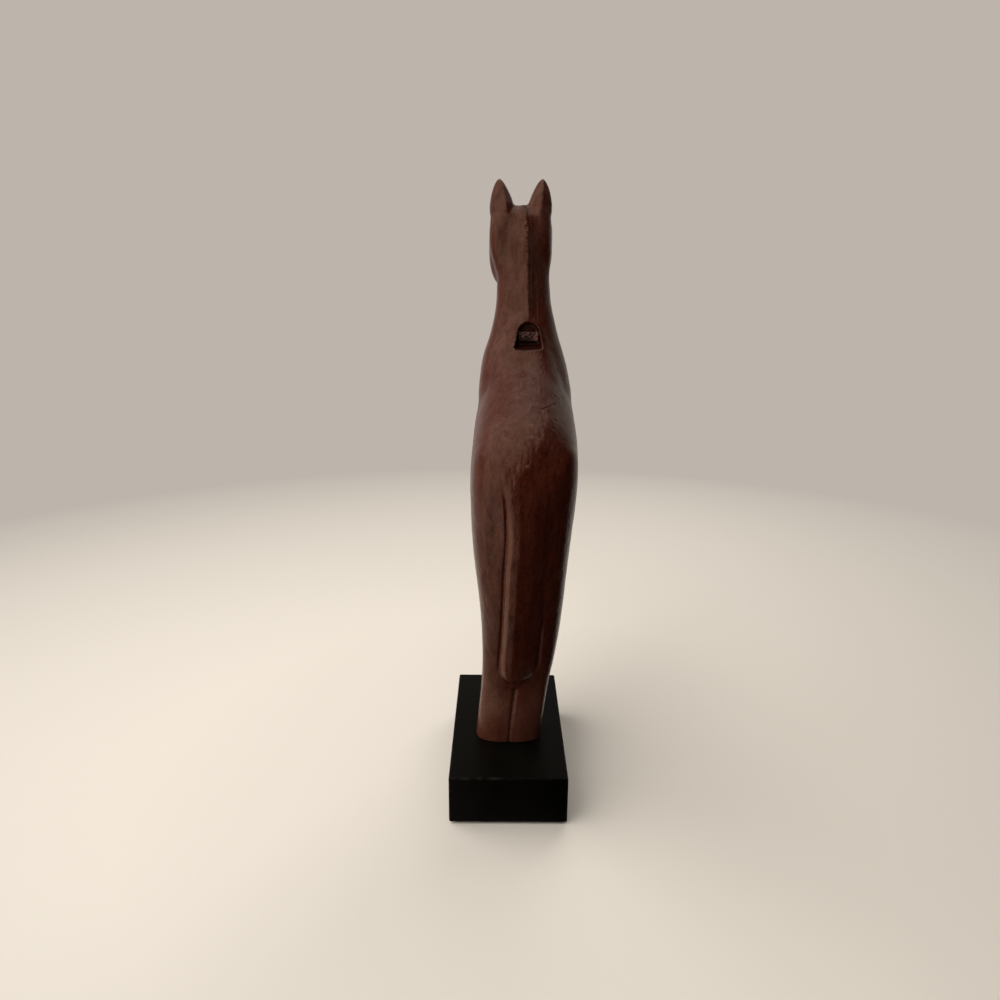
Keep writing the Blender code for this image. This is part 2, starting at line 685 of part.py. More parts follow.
def make_screws(parts, cutters, steel):
    """A slotted pan-head screw and its flat washer for each leg."""
    seat = FELT_THICKNESS + SEAT_GAP + COUNTERBORE_DEPTH - SEAT_GAP
    washer_low = seat - WASHER_THICKNESS
    head_top = washer_low - SEAT_GAP
    head_low = head_top - SCREW_HEAD_HEIGHT
    tip = DECK + SCREW_BITE
    shank, rim = SCREW_DIAMETER / 2, SCREW_HEAD_DIAMETER / 2
    profile = [
        (0.0, tip),
        (shank, tip - SCREW_POINT),
        (shank, head_top),
        (rim, head_top),
        (rim, mix(head_top, head_low, 0.55)),
        (0.8 * rim, mix(head_top, head_low, 0.9)),
        (0.0, head_low),
    ]
    bore, outside = shank + SEAT_GAP, WASHER_DIAMETER / 2
    ring = [(outside, seat), (outside, washer_low), (bore, washer_low), (bore, seat)]
    for name, x, y in screw_places():
        screw = turned(f"{name}_screw", profile, False, (x, y), parts)
        slot = box(
            f"slot_{name}", (2 * rim + 0.002, SCREW_SLOT, 2 * SCREW_SLOT), (x, y, head_low), cutters
        )
        boolean(screw, helper(slot), "DIFFERENCE")
        washer = turned(f"{name}_washer", ring, True, (x, y), parts)
        screw.data.materials.append(steel)
        washer.data.materials.append(steel)


def make_felt(parts, felt):
    size = (BLOCK_WIDTH - 2 * FELT_INSET, BLOCK_LENGTH - 2 * FELT_INSET, FELT_THICKNESS)
    sheet = box("felt_sheet", size, (0, 0, FELT_THICKNESS / 2), parts)
    sheet.data.materials.append(felt)


def make_stub(parts, wood):
    """Rough wood left across the back of the pocket, clear of its floor and walls."""
    deep = POCKET_MOUTH_Y + POCKET_DEPTH - SEAT_GAP
    sections = []
    for y in (deep - STUB_DEPTH, deep):
        wall = pocket_section(y)
        half = wall.half_width * (1 - POCKET_TAPER / (POCKET_WIDTH / 2)) - SEAT_GAP
        sections.append(Section(y, wall.h - STUB_DROP, half, STUB_HEIGHT / 2, wall.tilt, wall.x))
    square = [(1, -1), (1, 1), (-1, 1), (-1, -1)]
    stub = loft_object("tenon_stub", sections, square, parts, 1)
    stub.data.materials.append(wood)


def main():
    clear_scene()
    parts = new_collection("wooden_horse")
    cutters = new_collection("cutters")
    stain = material("stained_wood", (0.075, 0.020, 0.013), 0.42)
    raw = material("rough_wood", (0.060, 0.018, 0.012), 0.75)
    black = material("black_paint", (0.006, 0.005, 0.004), 0.45)
    steel = material("zinc_steel", (0.55, 0.55, 0.56), 0.35, 1.0)
    felt = material("black_felt", (0.012, 0.012, 0.012), 0.95)
    make_horse(parts, cutters, stain)
    make_stub(parts, raw)
    make_block(parts, cutters, black)
    make_screws(parts, cutters, steel)
    make_felt(parts, felt)


main()
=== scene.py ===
"""Looks of the carved wooden horse on its painted block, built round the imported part.

Metres, +Z up, +Y is the way the horse faces, and the origin is the middle of the felt's underside.
"""

import math
from collections import namedtuple

import bmesh
import bpy
import numpy as np
from mathutils import Matrix, Vector, noise


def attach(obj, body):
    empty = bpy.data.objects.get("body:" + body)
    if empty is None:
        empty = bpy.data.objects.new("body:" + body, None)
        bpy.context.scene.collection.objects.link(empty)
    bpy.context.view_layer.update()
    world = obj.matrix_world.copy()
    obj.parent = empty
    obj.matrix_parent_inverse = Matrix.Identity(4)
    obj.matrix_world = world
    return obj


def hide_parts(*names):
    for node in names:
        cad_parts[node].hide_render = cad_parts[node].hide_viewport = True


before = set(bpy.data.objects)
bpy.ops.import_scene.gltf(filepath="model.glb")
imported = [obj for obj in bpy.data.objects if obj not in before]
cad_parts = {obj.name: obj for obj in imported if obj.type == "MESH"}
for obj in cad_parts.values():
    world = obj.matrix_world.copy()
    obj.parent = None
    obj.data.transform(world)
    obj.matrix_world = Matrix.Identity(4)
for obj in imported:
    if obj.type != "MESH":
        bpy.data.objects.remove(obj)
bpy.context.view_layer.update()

# Block and felt, in metres
BLOCK_WIDTH = 0.089
BLOCK_LENGTH = 0.157
BLOCK_HEIGHT = 0.038
BLOCK_EDGE = 0.0012
FELT_THICKNESS = 0.0012
SEAT_GAP = 0.0003

# Bores for the screws
SCREW_DIAMETER = 0.0045
SCREW_BITE = 0.030
SCREW_SPACING = 0.024
BORE_BELOW = 0.01
BORE_SPARE = 0.001

# Heights of the horse above the top of the block
CROUP_HEIGHT = 0.246
WITHERS_HEIGHT = 0.300
BELLY_HEIGHT = 0.150
POLL_HEIGHT = 0.410
EAR_LENGTH = 0.027
TAIL_TIP_HEIGHT = 0.053
POCKET_FLOOR_HEIGHT = 0.305

# Places along the horse, from the middle of the block
RUMP_Y = -0.061
POCKET_MOUTH_Y = 0.0275
CHEST_Y = 0.089
HIND_HOOF_Y = -0.0155
FORE_HOOF_Y = 0.046
NECK_Y = 0.062

# Widths and depths of the horse
HIP_WIDTH = 0.0775
BARREL_WIDTH = 0.0800
SHOULDER_WIDTH = 0.0735
NECK_WIDTH = 0.0420
HEAD_WIDTH = 0.0505
HIND_HOOF_WIDTH = 0.0525
FORE_HOOF_WIDTH = 0.044
HOOF_LENGTH = 0.032
HEAD_LENGTH = 0.104
HEAD_DROP = math.radians(43)
EAR_SPACING = 0.0294
EAR_WIDTH = 0.0190
MANE_WIDTH = 0.0360
TAIL_WIDTH = 0.029
SPINE_RIDGE = 0.06

# The figure's hand-cut middle line, as (height above the block, offset towards +X)
MIDLINE = [
    (0.000, 0.0006),
    (0.020, 0.0024),
    (0.045, 0.0052),
    (0.075, 0.0080),
    (0.110, 0.0092),
    (0.165, 0.0086),
    (0.217, 0.0102),
    (0.260, 0.0118),
    (0.300, 0.0106),
    (0.322, 0.0108),
    (0.350, 0.0100),
    (0.380, 0.0098),
    (0.410, 0.0078),
]
HEAD_OFFSET = 0.0078
EAR_OFFSET = -0.0006

# Carved cuts
GROOVE_WIDTH = 0.0064
GROOVE_FOOT_WIDTH = 0.0022
GROOVE_DEPTH = 0.0018
GROOVE_TOP = 0.115
CHEST_GROOVE_TOP = 0.150
POCKET_WIDTH = 0.0214
POCKET_HEIGHT = 0.0208
POCKET_DEPTH = 0.011
POCKET_TAPER = 0.0016
POCKET_NARROWING = 0.82
POCKET_OFFSET = 0.0031

# The face, with places as shares of the head's length and spreads as shares of its width
MOUTH_WIDTH = 0.0012
MOUTH_LENGTH = 0.020
MOUTH_DROP = 0.005
MOUTH_CUTTER = 0.04
NOSTRIL_WIDTH = 0.0055
NOSTRIL_DEPTH = 0.0022
NOSTRIL_PLACE = 0.945
NOSTRIL_RAISE = 0.006
NOSTRIL_SPREAD = 0.20
EYE_LENGTH = 0.011
EYE_BULGE = 0.0028
EYE_PLACE = 0.37
EYE_RAISE = 0.009
EYE_SPREAD = 0.445
EAR_HOLLOW_WIDTH = 0.0074
EAR_HOLLOW_DEPTH = 0.0040
EAR_HOLLOW_RISE = 0.0073
EAR_FRONT_RISE = 0.004
EAR_FRONT_DEPTH = 0.001

# Fineness of the carved surface
ROUGH_VOXEL = 0.0012
ROUGH_PASSES = 46
FINE_VOXEL = 0.0008
FINE_PASSES = 1
EAR_PASSES = 8
RUBBING = 0.5
LOFT_STEPS = 6
LOFT_SIDES = 64
ROUND_SIDES = 32

# Marks of the tools. A band or level is a middle and a spread, a start or end is the two limits of a
# fade, and cells are counted to the metre on each axis
TAIL_CUT_DEPTH = 0.0012
TAIL_CUT_END = (0.205, 0.222)
LEFT_CUT_BAND, RIGHT_CUT_BAND = (-0.0006, 0.0009), (0.0008, 0.0011)
RIGHT_CUT_END = (0.09, 0.13)
HIND_END = (0.0, 0.01)
HOLLOW_DEPTH = 0.0018
HOLLOW_BAND, HOLLOW_LEVEL = (-0.0205, 0.0055), (0.180, 0.028)
TOOL_DEPTH = 0.0002
TOOL_ZERO = 0.35
TOOL_CELLS = (130.0, 130.0, 90.0)
RASP_DEPTH = 0.00005
RASP_CELLS = (500.0, 500.0, 160.0)

# The ridge over the back and croup, as (height above the block, offset from the middle line)
RIDGE_LINE = [(0.2136, -0.010), (0.2226, -0.0064), (0.2319, 0.0014)]
RIDGE_LINE += [(0.2425, 0.0066), (0.2543, 0.0130), (0.2732, 0.0200)]
RIDGE_WANDER = 0.0006
RIDGE_CELLS = (0.0, 160.0, 160.0)
RIDGE_START = (0.205, 0.230)
RIDGE_END = (-0.005, 0.020)
RIDGE_FALL = 0.13
FALL_WIDTH = 0.009
FALL_END = (0.012, 0.030)
CHATTER_DEPTH = 0.00026
CHATTER_BAND = (-0.004, 0.009)
CHATTER_CELLS = (520.0, 130.0, 130.0)

# Damage to the back, and painted glints on it, by their places in the frame
CRACK = [(0.0229, -0.0234, 0.3061), (0.0274, -0.0193, 0.3069), (0.0321, -0.0128, 0.3082)]
CRACK_DEPTH = 0.0006
CRACK_WIDTH = 0.0005
CRACK_STEPS = 25
DENTS = [
    (0.0326, -0.0043, 0.3128),
    (0.0320, -0.0281, 0.2990),
    (0.0302, -0.0356, 0.2946),
    (0.0101, -0.0571, 0.2720),
]
DENT_WIDTH = 0.0009
# Spots of painted glint on the back
GLINT_SPOTS = [
    (0.0128, -0.0222, 0.3087),
    (0.0146, -0.0381, 0.2971),
    (0.0144, -0.0454, 0.2899),
    (0.0101, -0.0571, 0.2720),
]
GLINT_SPOT_WIDTH = 0.0013
GLINT_SPOT_CELLS = (900.0, 900.0, 300.0)

# The mane's chips and bead, and the painted glints along its ridge, the bead as (height above the block,
# offset from the middle)
CREST_START = (0.028, 0.034)
CHIP_DEPTH = 0.0006
CHIP_BAND = (0.0026, 0.0011)
CHIP_START = (0.370, 0.378)
CHIP_CELLS = (0.0, 0.0, 190.0)
BEAD_LINE = [(0.3218, 0.0106), (0.3448, 0.0108), (0.3633, 0.0095)]
BEAD_LINE += [(0.3772, 0.0084), (0.3906, 0.0069), (0.4080, 0.0056)]
BEAD_HEIGHT = 0.0004
BEAD_WIDTH = 0.0006
BEAD_START, BEAD_END = (0.318, 0.326), (0.400, 0.408)
GLINT_BAND = (0.0024, 0.0007)
GLINT_START, GLINT_END = (0.366, 0.374), (0.400, 0.404)
GLINT_REACH = (0.050, 0.055)
GLINT_CELLS = (0.0, 0.0, 520.0)

# The lids and lips
LID_DEPTH = 0.0010
LID_BAND = (0.0075, 0.0016)
LID_SQUASH = (1.0, 1.0, 0.75)
LIP_DEPTH = 0.0012
LIP_WIDTH = 0.0009
LIP_REACH = (0.026, 0.020)

# The torn stub
STUB_VOXEL = 0.0004
TORN_DEPTH = 0.0016
TORN_SHARE = 0.6
TORN_CELLS = (520.0, 520.0, 760.0)
STRIP_CELLS = (420.0, 0.0, 0.0)

# Painted light: a painted highlight on the tail's bevel, measured from its left edge, painted shade in
# the pocket, and painted bounce light on the lower legs below a height
BEVEL_START, BEVEL_END = (-0.0002, 0.0006), (0.0034, 0.0042)
BEVEL_TOP = (0.190, 0.206)
BEVEL_HIGHLIGHT = 0.50
POCKET_SHADE = -0.55
BOUNCE_TOP = 0.115
BOUNCE_FULL = 0.075

# Colours of the pieces
STAIN = (0.074, 0.0140, 0.0065)
DARK_STAIN = (0.054, 0.0090, 0.0045)
AGED_STAIN = (0.038, 0.0062, 0.0034)
LIGHT_STAIN = (0.088, 0.019, 0.009)
# Worn convex edges, and the painted highlight on the tail's bevel and the painted glints
WORN_AND_HIGHLIGHT_STAIN = (0.16, 0.060, 0.036)
# Pores and dark specks, and the painted shade in the pocket and in concave hollows
PORE_AND_SHADE_COLOUR = (0.012, 0.0022, 0.0015)
TORN_WOOD = (0.17, 0.080, 0.057)
# Painted bounce light on the lower legs
BOUNCE_LIT_STAIN = (0.105, 0.040, 0.026)
VARNISH_TINT = (1.0, 0.93, 0.76)
PAINT = (0.0015, 0.0013, 0.0009)
FADED_PAINT = (0.0031, 0.0026, 0.0018)
WORN_PAINT = (0.020, 0.016, 0.012)
DUST_COLOUR = (0.05, 0.047, 0.042)
DARK_FELT, PALE_FELT = (0.005, 0.005, 0.005), (0.022, 0.021, 0.020)
DARK_ZINC, PALE_ZINC = (0.42, 0.42, 0.43), (0.60, 0.60, 0.61)

# Stage
FLOOR_RADIUS = 3.0
FLOOR_DROP = 0.0004
FLOOR_COLOUR = (0.91, 0.865, 0.80)
FLOOR_BOUNCE = (0.22, 0.205, 0.185)
BACKDROP_COLOUR = (0.51, 0.46, 0.41)
FADE_START = 0.30
FADE_END = 1.10

# Screens and cards that only gloss sees, as profiles of (radius, z) between two bearings
SCREEN_COLOUR = (0.006, 0.006, 0.006)
SCREEN_PROFILE = [(0.09, 0.0005), (0.22, 0.0005), (0.22, 0.45)]
HIGH_SCREEN = [(0.50, 0.60), (0.50, 1.20)]
SCREEN_START = math.radians(-12)
SCREEN_END = math.radians(102)
SCREEN_STEPS = 32
CARD_RADIUS = 0.36
CARD_FOOT = 0.48
CARD_TOP = 1.0
ROOF_HOLE = 0.001
CARD_START = math.radians(-74)
UPPER_START = math.radians(-118)
CARD_END = math.radians(14)
CARD_GLOW = 1.55
UPPER_GLOW = 1.9

# Lamps, as name, place, size and power, and the camera
LIGHT_COLOUR = (1.0, 0.945, 0.87)
LIGHT_TARGET = (0.0, 0.0, 0.2)
LAMPS = [
    ("key", (-1.25, -0.20, 1.10), (3.2, 2.2), 42.0),
    ("top", (-0.35, -0.75, 1.75), (1.2, 1.2), 4.5),
    ("front_light", (0.50, 1.45, 0.90), (1.4, 1.2), 14.0),
]
FILL_COLOUR = (1.0, 0.97, 0.94)
FILL_STRENGTH = 0.09
CAMERA_PLACE = (-0.0075, -0.558, 0.3880)
CAMERA_DOWN = 15.64
CAMERA_ROLL = 0.34
FOCAL_PIXELS = 751
IMAGE_PIXELS = 1000
SENSOR = 36.0

DECK = FELT_THICKNESS + SEAT_GAP + BLOCK_HEIGHT
SOLE = SEAT_GAP
BELOW_SOLE = -0.010
GROUND_BOX = (0.3, 0.4, 0.1)
HEAD_FOOT = Vector((HEAD_OFFSET, 0, DECK))
SIDES = (-1, 1)
NO_TURN = Matrix.Identity(4)

Section = namedtuple("Section", "y h half_width half_depth tilt x", defaults=(0.0, 0.0))


# Lofts of the figure


def mix(low, high, share):
    return low + (high - low) * share


def drift(h):
    """Sideways offset of the figure's middle at a height above the block."""
    last = len(MIDLINE) - 1
    h = min(max(h, MIDLINE[0][0]), MIDLINE[last][0])
    start = max(i for i in range(last) if MIDLINE[i][0] <= h)

    def slope(i):
        before, after = MIDLINE[max(i - 1, 0)], MIDLINE[min(i + 1, last)]
        return (after[1] - before[1]) / (after[0] - before[0])

    (low, p), (high, q) = MIDLINE[start], MIDLINE[start + 1]
    span = high - low
    t = (h - low) / span
    bend = span * (t * (1 - t) ** 2 * slope(start) - t * t * (1 - t) * slope(start + 1))
    return mix(p, q, t * t * (3 - 2 * t)) + bend


def between(sections, steps):
    """The sections with smooth ones added between them, by a Catmull-Rom curve through each value."""
    padded = [sections[0], *sections, sections[-1]]
    made = []
    for a, b, c, d in zip(padded, padded[1:], padded[2:], padded[3:]):
        for step in range(steps):
            t = step / steps
            values = []
            for p, q, r, s in zip(a, b, c, d):
                bend = (2 * p - 5 * q + 4 * r - s) * t**2 + (3 * q - p - 3 * r + s) * t**3
                values.append(0.5 * (2 * q + (r - p) * t + bend))
            made.append(Section(*values))
    return [*made, sections[-1]]


def ellipse(squareness):
    """Points of a unit superellipse: 1 is a diamond, 2 a circle and more is squarer."""
    points = []
    for side in range(LOFT_SIDES):
        angle = 2 * math.pi * side / LOFT_SIDES
        unit = (math.cos(angle), math.sin(angle))
        points.append(tuple(math.copysign(abs(value) ** (2 / squareness), value) for value in unit))
    return points


def ridged(outline, rise):
    """An outline with its top raised to a blunt ridge by a share of its height."""
    return [(u, v * (1 + rise * (1 - abs(u)) ** 1.5) if v > 0 else v) for u, v in outline]


def head_middle(h):
    """Sideways offset of the head, the same at each height."""
    return HEAD_OFFSET


def add_loft(mesh, sections, outline, steps=LOFT_STEPS, sway=drift):
    """Adds a closed tube through the sections. Each ring spans X and a direction tilted up from +Y."""
    rings = []
    for section in between(sections, steps):
        ring = []
        for u, v in outline:
            reach = v * section.half_depth
            y = section.y + reach * math.cos(section.tilt)
            h = section.h + reach * math.sin(section.tilt)
            ring.append(mesh.verts.new((sway(h) + section.x + u * section.half_width, y, DECK + h)))
        rings.append(ring)
    made = [mesh.faces.new(rings[0]), mesh.faces.new(rings[-1])]
    for low, high in zip(rings, rings[1:]):
        for i in range(len(outline)):
            j = (i + 1) % len(outline)
            made.append(mesh.faces.new((low[i], low[j], high[j], high[i])))
    bmesh.ops.recalc_face_normals(mesh, faces=made)


def leg_sections(hoof_y, shape):
    """Sections of two legs, from (distance ahead of the hoofs, height, half width, added half depth)."""
    half = HOOF_LENGTH / 2
    return [Section(hoof_y + ahead, h, width, half + added) for ahead, h, width, added in shape]


def hind_column():
    """The hind legs and haunches, from below the soles to inside the croup."""
    foot, hip = HIND_HOOF_WIDTH / 2, HIP_WIDTH / 2
    shape = [
        (0.0, BELOW_SOLE, foot, 0.0),
        (0.0, 0.008, foot + 0.0002, 0.0),
        (-0.0005, 0.024, foot + 0.0002, -0.0015),
        (0.0, 0.047, foot + 0.0006, -0.002),
        (-0.0035, 0.085, mix(foot, hip, 0.26), 0.001),
        (-0.0065, 0.125, mix(foot, hip, 0.50), 0.009),
        (-0.0055, 0.161, mix(foot, hip, 0.78), 0.016),
        (-0.0045, 0.195, mix(foot, hip, 0.98), 0.022),
        (-0.0055, 0.217, hip, 0.022),
        (-0.0065, 0.236, mix(foot, hip, 0.85), 0.015),
        (-0.0065, 0.250, mix(foot, hip, 0.10), 0.002),
    ]
    return leg_sections(HIND_HOOF_Y, shape)


def fore_column():
    """The forelegs, from below the soles to inside the shoulders."""
    foot, shoulder = FORE_HOOF_WIDTH / 2, SHOULDER_WIDTH / 2
    shape = [
        (0.0, BELOW_SOLE, foot, -0.0005),
        (0.0, 0.008, foot, -0.0005),
        (-0.002, 0.024, foot - 0.001, -0.003),
        (-0.0005, 0.050, foot - 0.0015, -0.0055),
        (0.001, 0.086, foot, -0.0035),
        (0.003, 0.125, mix(foot, shoulder, 0.2), -0.0005),
        (0.007, 0.165, mix(foot, shoulder, 0.55), 0.007),
        (0.010, 0.200, mix(foot, shoulder, 0.85), 0.012),
        (0.012, 0.235, mix(foot, shoulder, 0.7), 0.006),
    ]
    return leg_sections(FORE_HOOF_Y, shape)


def upright(y, top, low, width):
    """An upright ring between two heights."""
    return Section(y, (top + low) / 2, width, (top - low) / 2, math.pi / 2)


def trunk():
    """The barrel from rump to chest, as upright rings. The back rises from the croup to the withers."""
    hip, barrel, shoulder = HIP_WIDTH / 2, BARREL_WIDTH / 2, SHOULDER_WIDTH / 2
    rise = WITHERS_HEIGHT - CROUP_HEIGHT
    shape = [
        (RUMP_Y, CROUP_HEIGHT - 0.026, CROUP_HEIGHT - 0.046, 0.007),
        (RUMP_Y + 0.004, CROUP_HEIGHT - 0.014, CROUP_HEIGHT - 0.062, 0.020),
        (RUMP_Y + 0.013, CROUP_HEIGHT, BELLY_HEIGHT + 0.025, hip - 0.006),
        (RUMP_Y + 0.028, CROUP_HEIGHT + 0.25 * rise, BELLY_HEIGHT + 0.014, hip - 0.001),
        (RUMP_Y + 0.050, CROUP_HEIGHT + 0.50 * rise, BELLY_HEIGHT + 0.006, barrel),
        (mix(RUMP_Y, CHEST_Y, 0.5), CROUP_HEIGHT + 0.77 * rise, BELLY_HEIGHT, barrel),
        (CHEST_Y - 0.050, WITHERS_HEIGHT - 0.006, BELLY_HEIGHT, barrel),
        (CHEST_Y - 0.028, WITHERS_HEIGHT - 0.012, BELLY_HEIGHT + 0.010, shoulder),
        (CHEST_Y - 0.013, WITHERS_HEIGHT - 0.022, BELLY_HEIGHT + 0.028, shoulder - 0.007),
        (CHEST_Y - 0.003, WITHERS_HEIGHT - 0.042, BELLY_HEIGHT + 0.050, shoulder - 0.019),
        (CHEST_Y, WITHERS_HEIGHT - 0.060, BELLY_HEIGHT + 0.066, 0.007),
    ]
    return [upright(*row) for row in shape]


def withers():
    """The hollow rise from the back to the crest of the neck, as upright rings."""
    shape = [
        (-0.088, -0.038, 0.010),
        (-0.076, -0.0295, 0.020),
        (-0.062, -0.0200, 0.027),
        (-0.050, -0.0095, 0.030),
        (-0.040, 0.0020, 0.029),
        (-0.032, 0.0150, 0.026),
        (-0.026, 0.0280, 0.022),
        (-0.021, 0.0370, 0.014),
    ]
    low = WITHERS_HEIGHT - 0.065
    return [upright(NECK_Y + ahead, WITHERS_HEIGHT + climb, low, width) for ahead, climb, width in shape]


def neck():
    """The neck, from inside the shoulders to the poll, by its crest and throat lines."""
    shoulder, throat = SHOULDER_WIDTH / 2, NECK_WIDTH / 2
    rise = POLL_HEIGHT - WITHERS_HEIGHT
    shape = [
        (WITHERS_HEIGHT - 0.090, -0.040, 0.012, shoulder - 0.004),
        (WITHERS_HEIGHT - 0.040, -0.060, 0.019, shoulder),
        (WITHERS_HEIGHT - 0.017, -0.047, 0.0195, shoulder - 0.0015),
        (WITHERS_HEIGHT, -0.036, 0.0195, mix(throat, shoulder, 0.68)),
        (WITHERS_HEIGHT + 0.13 * rise, -0.029, 0.018, mix(throat, shoulder, 0.38)),
        (WITHERS_HEIGHT + 0.32 * rise, -0.0215, 0.016, mix(throat, shoulder, 0.08)),
        (WITHERS_HEIGHT + 0.46 * rise, -0.018, 0.016, throat),
        (WITHERS_HEIGHT + 0.66 * rise, -0.015, 0.017, throat - 0.001),
        (WITHERS_HEIGHT + 0.84 * rise, -0.013, 0.019, throat - 0.0015),
        (WITHERS_HEIGHT + 0.95 * rise, -0.009, 0.020, throat - 0.003),
        (POLL_HEIGHT + 0.0015, -0.002, 0.014, throat - 0.011),
    ]
    sections = []
    for h, back, ahead, width in shape:
        crest_y, throat_y = NECK_Y + back, NECK_Y + ahead
        sections.append(Section((crest_y + throat_y) / 2, h, width, (throat_y - crest_y) / 2))
    return sections


def cheeks():
    """The flat-sided cheeks and jaw, wider than the neck behind them."""
    half = HEAD_WIDTH / 2
    shape = [
        (-0.061, 0.0160, 0.45, 0.0080),
        (-0.057, 0.0160, 0.74, 0.0130),
        (-0.048, 0.0160, 0.92, 0.0170),
        (-0.037, 0.0160, 1.00, 0.0190),
        (-0.020, 0.0140, 1.00, 0.0180),
        (-0.010, 0.0100, 0.95, 0.0135),
        (-0.004, 0.0080, 0.60, 0.0075),
    ]
    return [
        Section(NECK_Y + ahead, POLL_HEIGHT + drop, share * half, depth)
        for drop, ahead, share, depth in shape
    ]


def head_point(distance):
    """(y, h) of the head's axis at a distance from the back of the skull."""
    return (
        NECK_Y - 0.010 + distance * math.cos(HEAD_DROP),
        POLL_HEIGHT - 0.010 - distance * math.sin(HEAD_DROP),
    )


def head():
    """The skull, cheeks and muzzle, as rings square to the head's own axis."""
    tilt = math.pi / 2 - HEAD_DROP
    cheek = HEAD_WIDTH / 2 - 0.001
    shape = [
        (0.020, 0.30, 0.006),
        (0.075, 0.66, 0.0130),
        (0.175, 0.95, 0.0205),
        (0.330, 0.98, 0.0250),
        (0.520, 0.76, 0.0205),
        (0.710, 0.59, 0.0160),
        (0.870, 0.55, 0.0143),
        (0.965, 0.44, 0.0112),
        (1.000, 0.22, 0.0055),
    ]
    return [
        Section(*head_point(share * HEAD_LENGTH), width * cheek, depth, tilt)
        for share, width, depth in shape
    ]


def ear_sections(side, shape):
    """Sections of one ear, from (height above the poll, distance back, half width, half depth, lean)."""
    middle = EAR_OFFSET + side * EAR_SPACING / 2
    return [
        Section(NECK_Y - back, POLL_HEIGHT + above, width, depth, 0.0, middle + side * out)
        for above, back, width, depth, out in shape
    ]


def ear_root(side):
    """The side of the skull under one ear, flush with the back of the ear."""
    half = EAR_WIDTH / 2
    shape = [
        (-0.056, -0.0080, half - 0.0050, 0.0050, -0.0030),
        (-0.044, 0.0000, half - 0.0022, 0.0068, -0.0016),
        (-0.028, 0.0044, half - 0.0002, 0.0078, -0.0006),
        (-0.012, 0.0060, half, 0.0076, -0.0004),
        (0.0, 0.0054, half - 0.0002, 0.0066, 0.0),
        (0.006, 0.0040, half - 0.0016, 0.0040, 0.0004),
    ]
    return ear_sections(side, shape)


def ear(side):
    """One pricked ear, from inside the skull to its tip."""
    half = EAR_WIDTH / 2
    tip = EAR_LENGTH - 0.0065
    shape = [
        (-0.022, 0.0020, half - 0.0030, 0.0050, -0.0004),
        (-0.008, 0.0054, half - 0.0003, 0.0070, -0.0003),
        (0.0, 0.0056, half, 0.0070, 0.0),
        (0.27 * tip, 0.0044, half - 0.0010, 0.0060, 0.0005),
        (0.58 * tip, 0.0026, half - 0.0032, 0.0048, 0.0012),
        (0.87 * tip, 0.0010, half - 0.0062, 0.0030, 0.0017),
        (tip, 0.0010, 0.0006, 0.0006, 0.0019),
    ]
    return ear_sections(side, shape)


def ear_outline(side):
    """A roof-backed section. The left ear's ridge stands nearer its inner edge than the right's."""
    ridge = 0.35 if side < 0 else 0.08
    front = [(1, 0.3), (0.55, 1), (-0.55, 1), (-1, 0.3)]
    back = [(-0.85, -0.35), (ridge - 0.14, -0.96), (ridge + 0.10, -0.96), (0.9, -0.25)]
    return front + back


def crest():
    """The hogged mane and the flat back of the skull, from behind the pocket up to between the ears."""
    mane, skull = MANE_WIDTH / 2, HEAD_WIDTH / 2
    shape = [
        (0.08, -0.0310, mane, 0.0120, 0.0010),
        (0.22, -0.0262, mane, 0.0125, 0.0008),
        (0.38, -0.0228, mane, 0.0125, 0.0006),
        (0.50, -0.0208, mane + 0.0015, 0.0118, 0.0004),
        (0.64, -0.0194, mix(mane, skull, 0.50), 0.0105, -0.0004),
        (0.78, -0.0180, mix(mane, skull, 0.55), 0.0096, -0.0006),
        (0.88, -0.0164, mix(mane, skull, 0.25), 0.0090, -0.0002),
        (0.95, -0.0138, 0.0130, 0.0085, 0.0006),
        (1.01, -0.0085, 0.0055, 0.0065, 0.0012),
    ]
    sections = []
    for share, ridge, width, depth, x in shape:
        h = mix(POCKET_FLOOR_HEIGHT, POLL_HEIGHT, share)
        sections.append(Section(NECK_Y + ridge + depth, h, width, depth, 0.0, x))
    return sections


def crest_outline():
    """A roof-like section, its ridge towards -Y and nearer +X, with a steep facet on that side."""
    left = [(-1, 0.05), (-0.46, -0.52), (0.06, -0.97)]
    right = [(0.14, -1), (0.22, -0.92), (0.46, -0.40), (1, 0.05)]
    return [(1, 1), (-1, 1), *left, *right]


def ridge_outline():
    """The part of the crest's section near its ridge, just inside its left plane."""
    ridge = [(0.06, -0.97), (0.14, -1), (0.22, -0.92), (0.46, -0.40)]
    return [(0.8, 1), (-0.40, 1), (-0.40, -0.54), *ridge, (0.8, -0.12)]


def tail():
    """The tail, a bevelled band in relief down the back of the hind legs."""
    half = TAIL_WIDTH / 2
    back = HIND_HOOF_Y - HOOF_LENGTH / 2
    shape = [
        (0.0030, 0.0, 0.005, 0.0060, 0.0),
        (0.0024, 0.004, half - 0.0040, 0.0076, 0.0),
        (0.0008, 0.015, half - 0.0002, 0.0082, 0.0),
        (-0.0034, 0.037, half, 0.0082, 0.0),
        (-0.0123, 0.067, half, 0.0080, 0.0008),
        (-0.0185, 0.097, half, 0.0076, 0.0022),
        (-0.0230, 0.125, half, 0.0068, 0.0034),
        (-0.0252, 0.146, half + 0.0010, 0.0054, 0.0028),
        (-0.0262, 0.162, half + 0.0020, 0.0032, 0.0018),
        (-0.0240, 0.176, half + 0.0020, 0.0020, 0.0),
        (-0.0180, 0.186, half, 0.0020, 0.0),
    ]
    return [
        Section(back + ahead, TAIL_TIP_HEIGHT + above, width, depth, 0.0, x)
        for ahead, above, width, depth, x in shape
    ]


def tail_outline():
    """A band with bevelled shoulders, a slight ridge towards -Y and a lower right edge."""
    left = [(-1.0, -0.42), (-0.74, -0.86)]
    right = [(0.30, -0.80), (0.80, -0.40), (1.15, 0.20)]
    return [(1.15, 1.0), (-1.0, 1.0), *left, (-0.38, -1.0), *right]


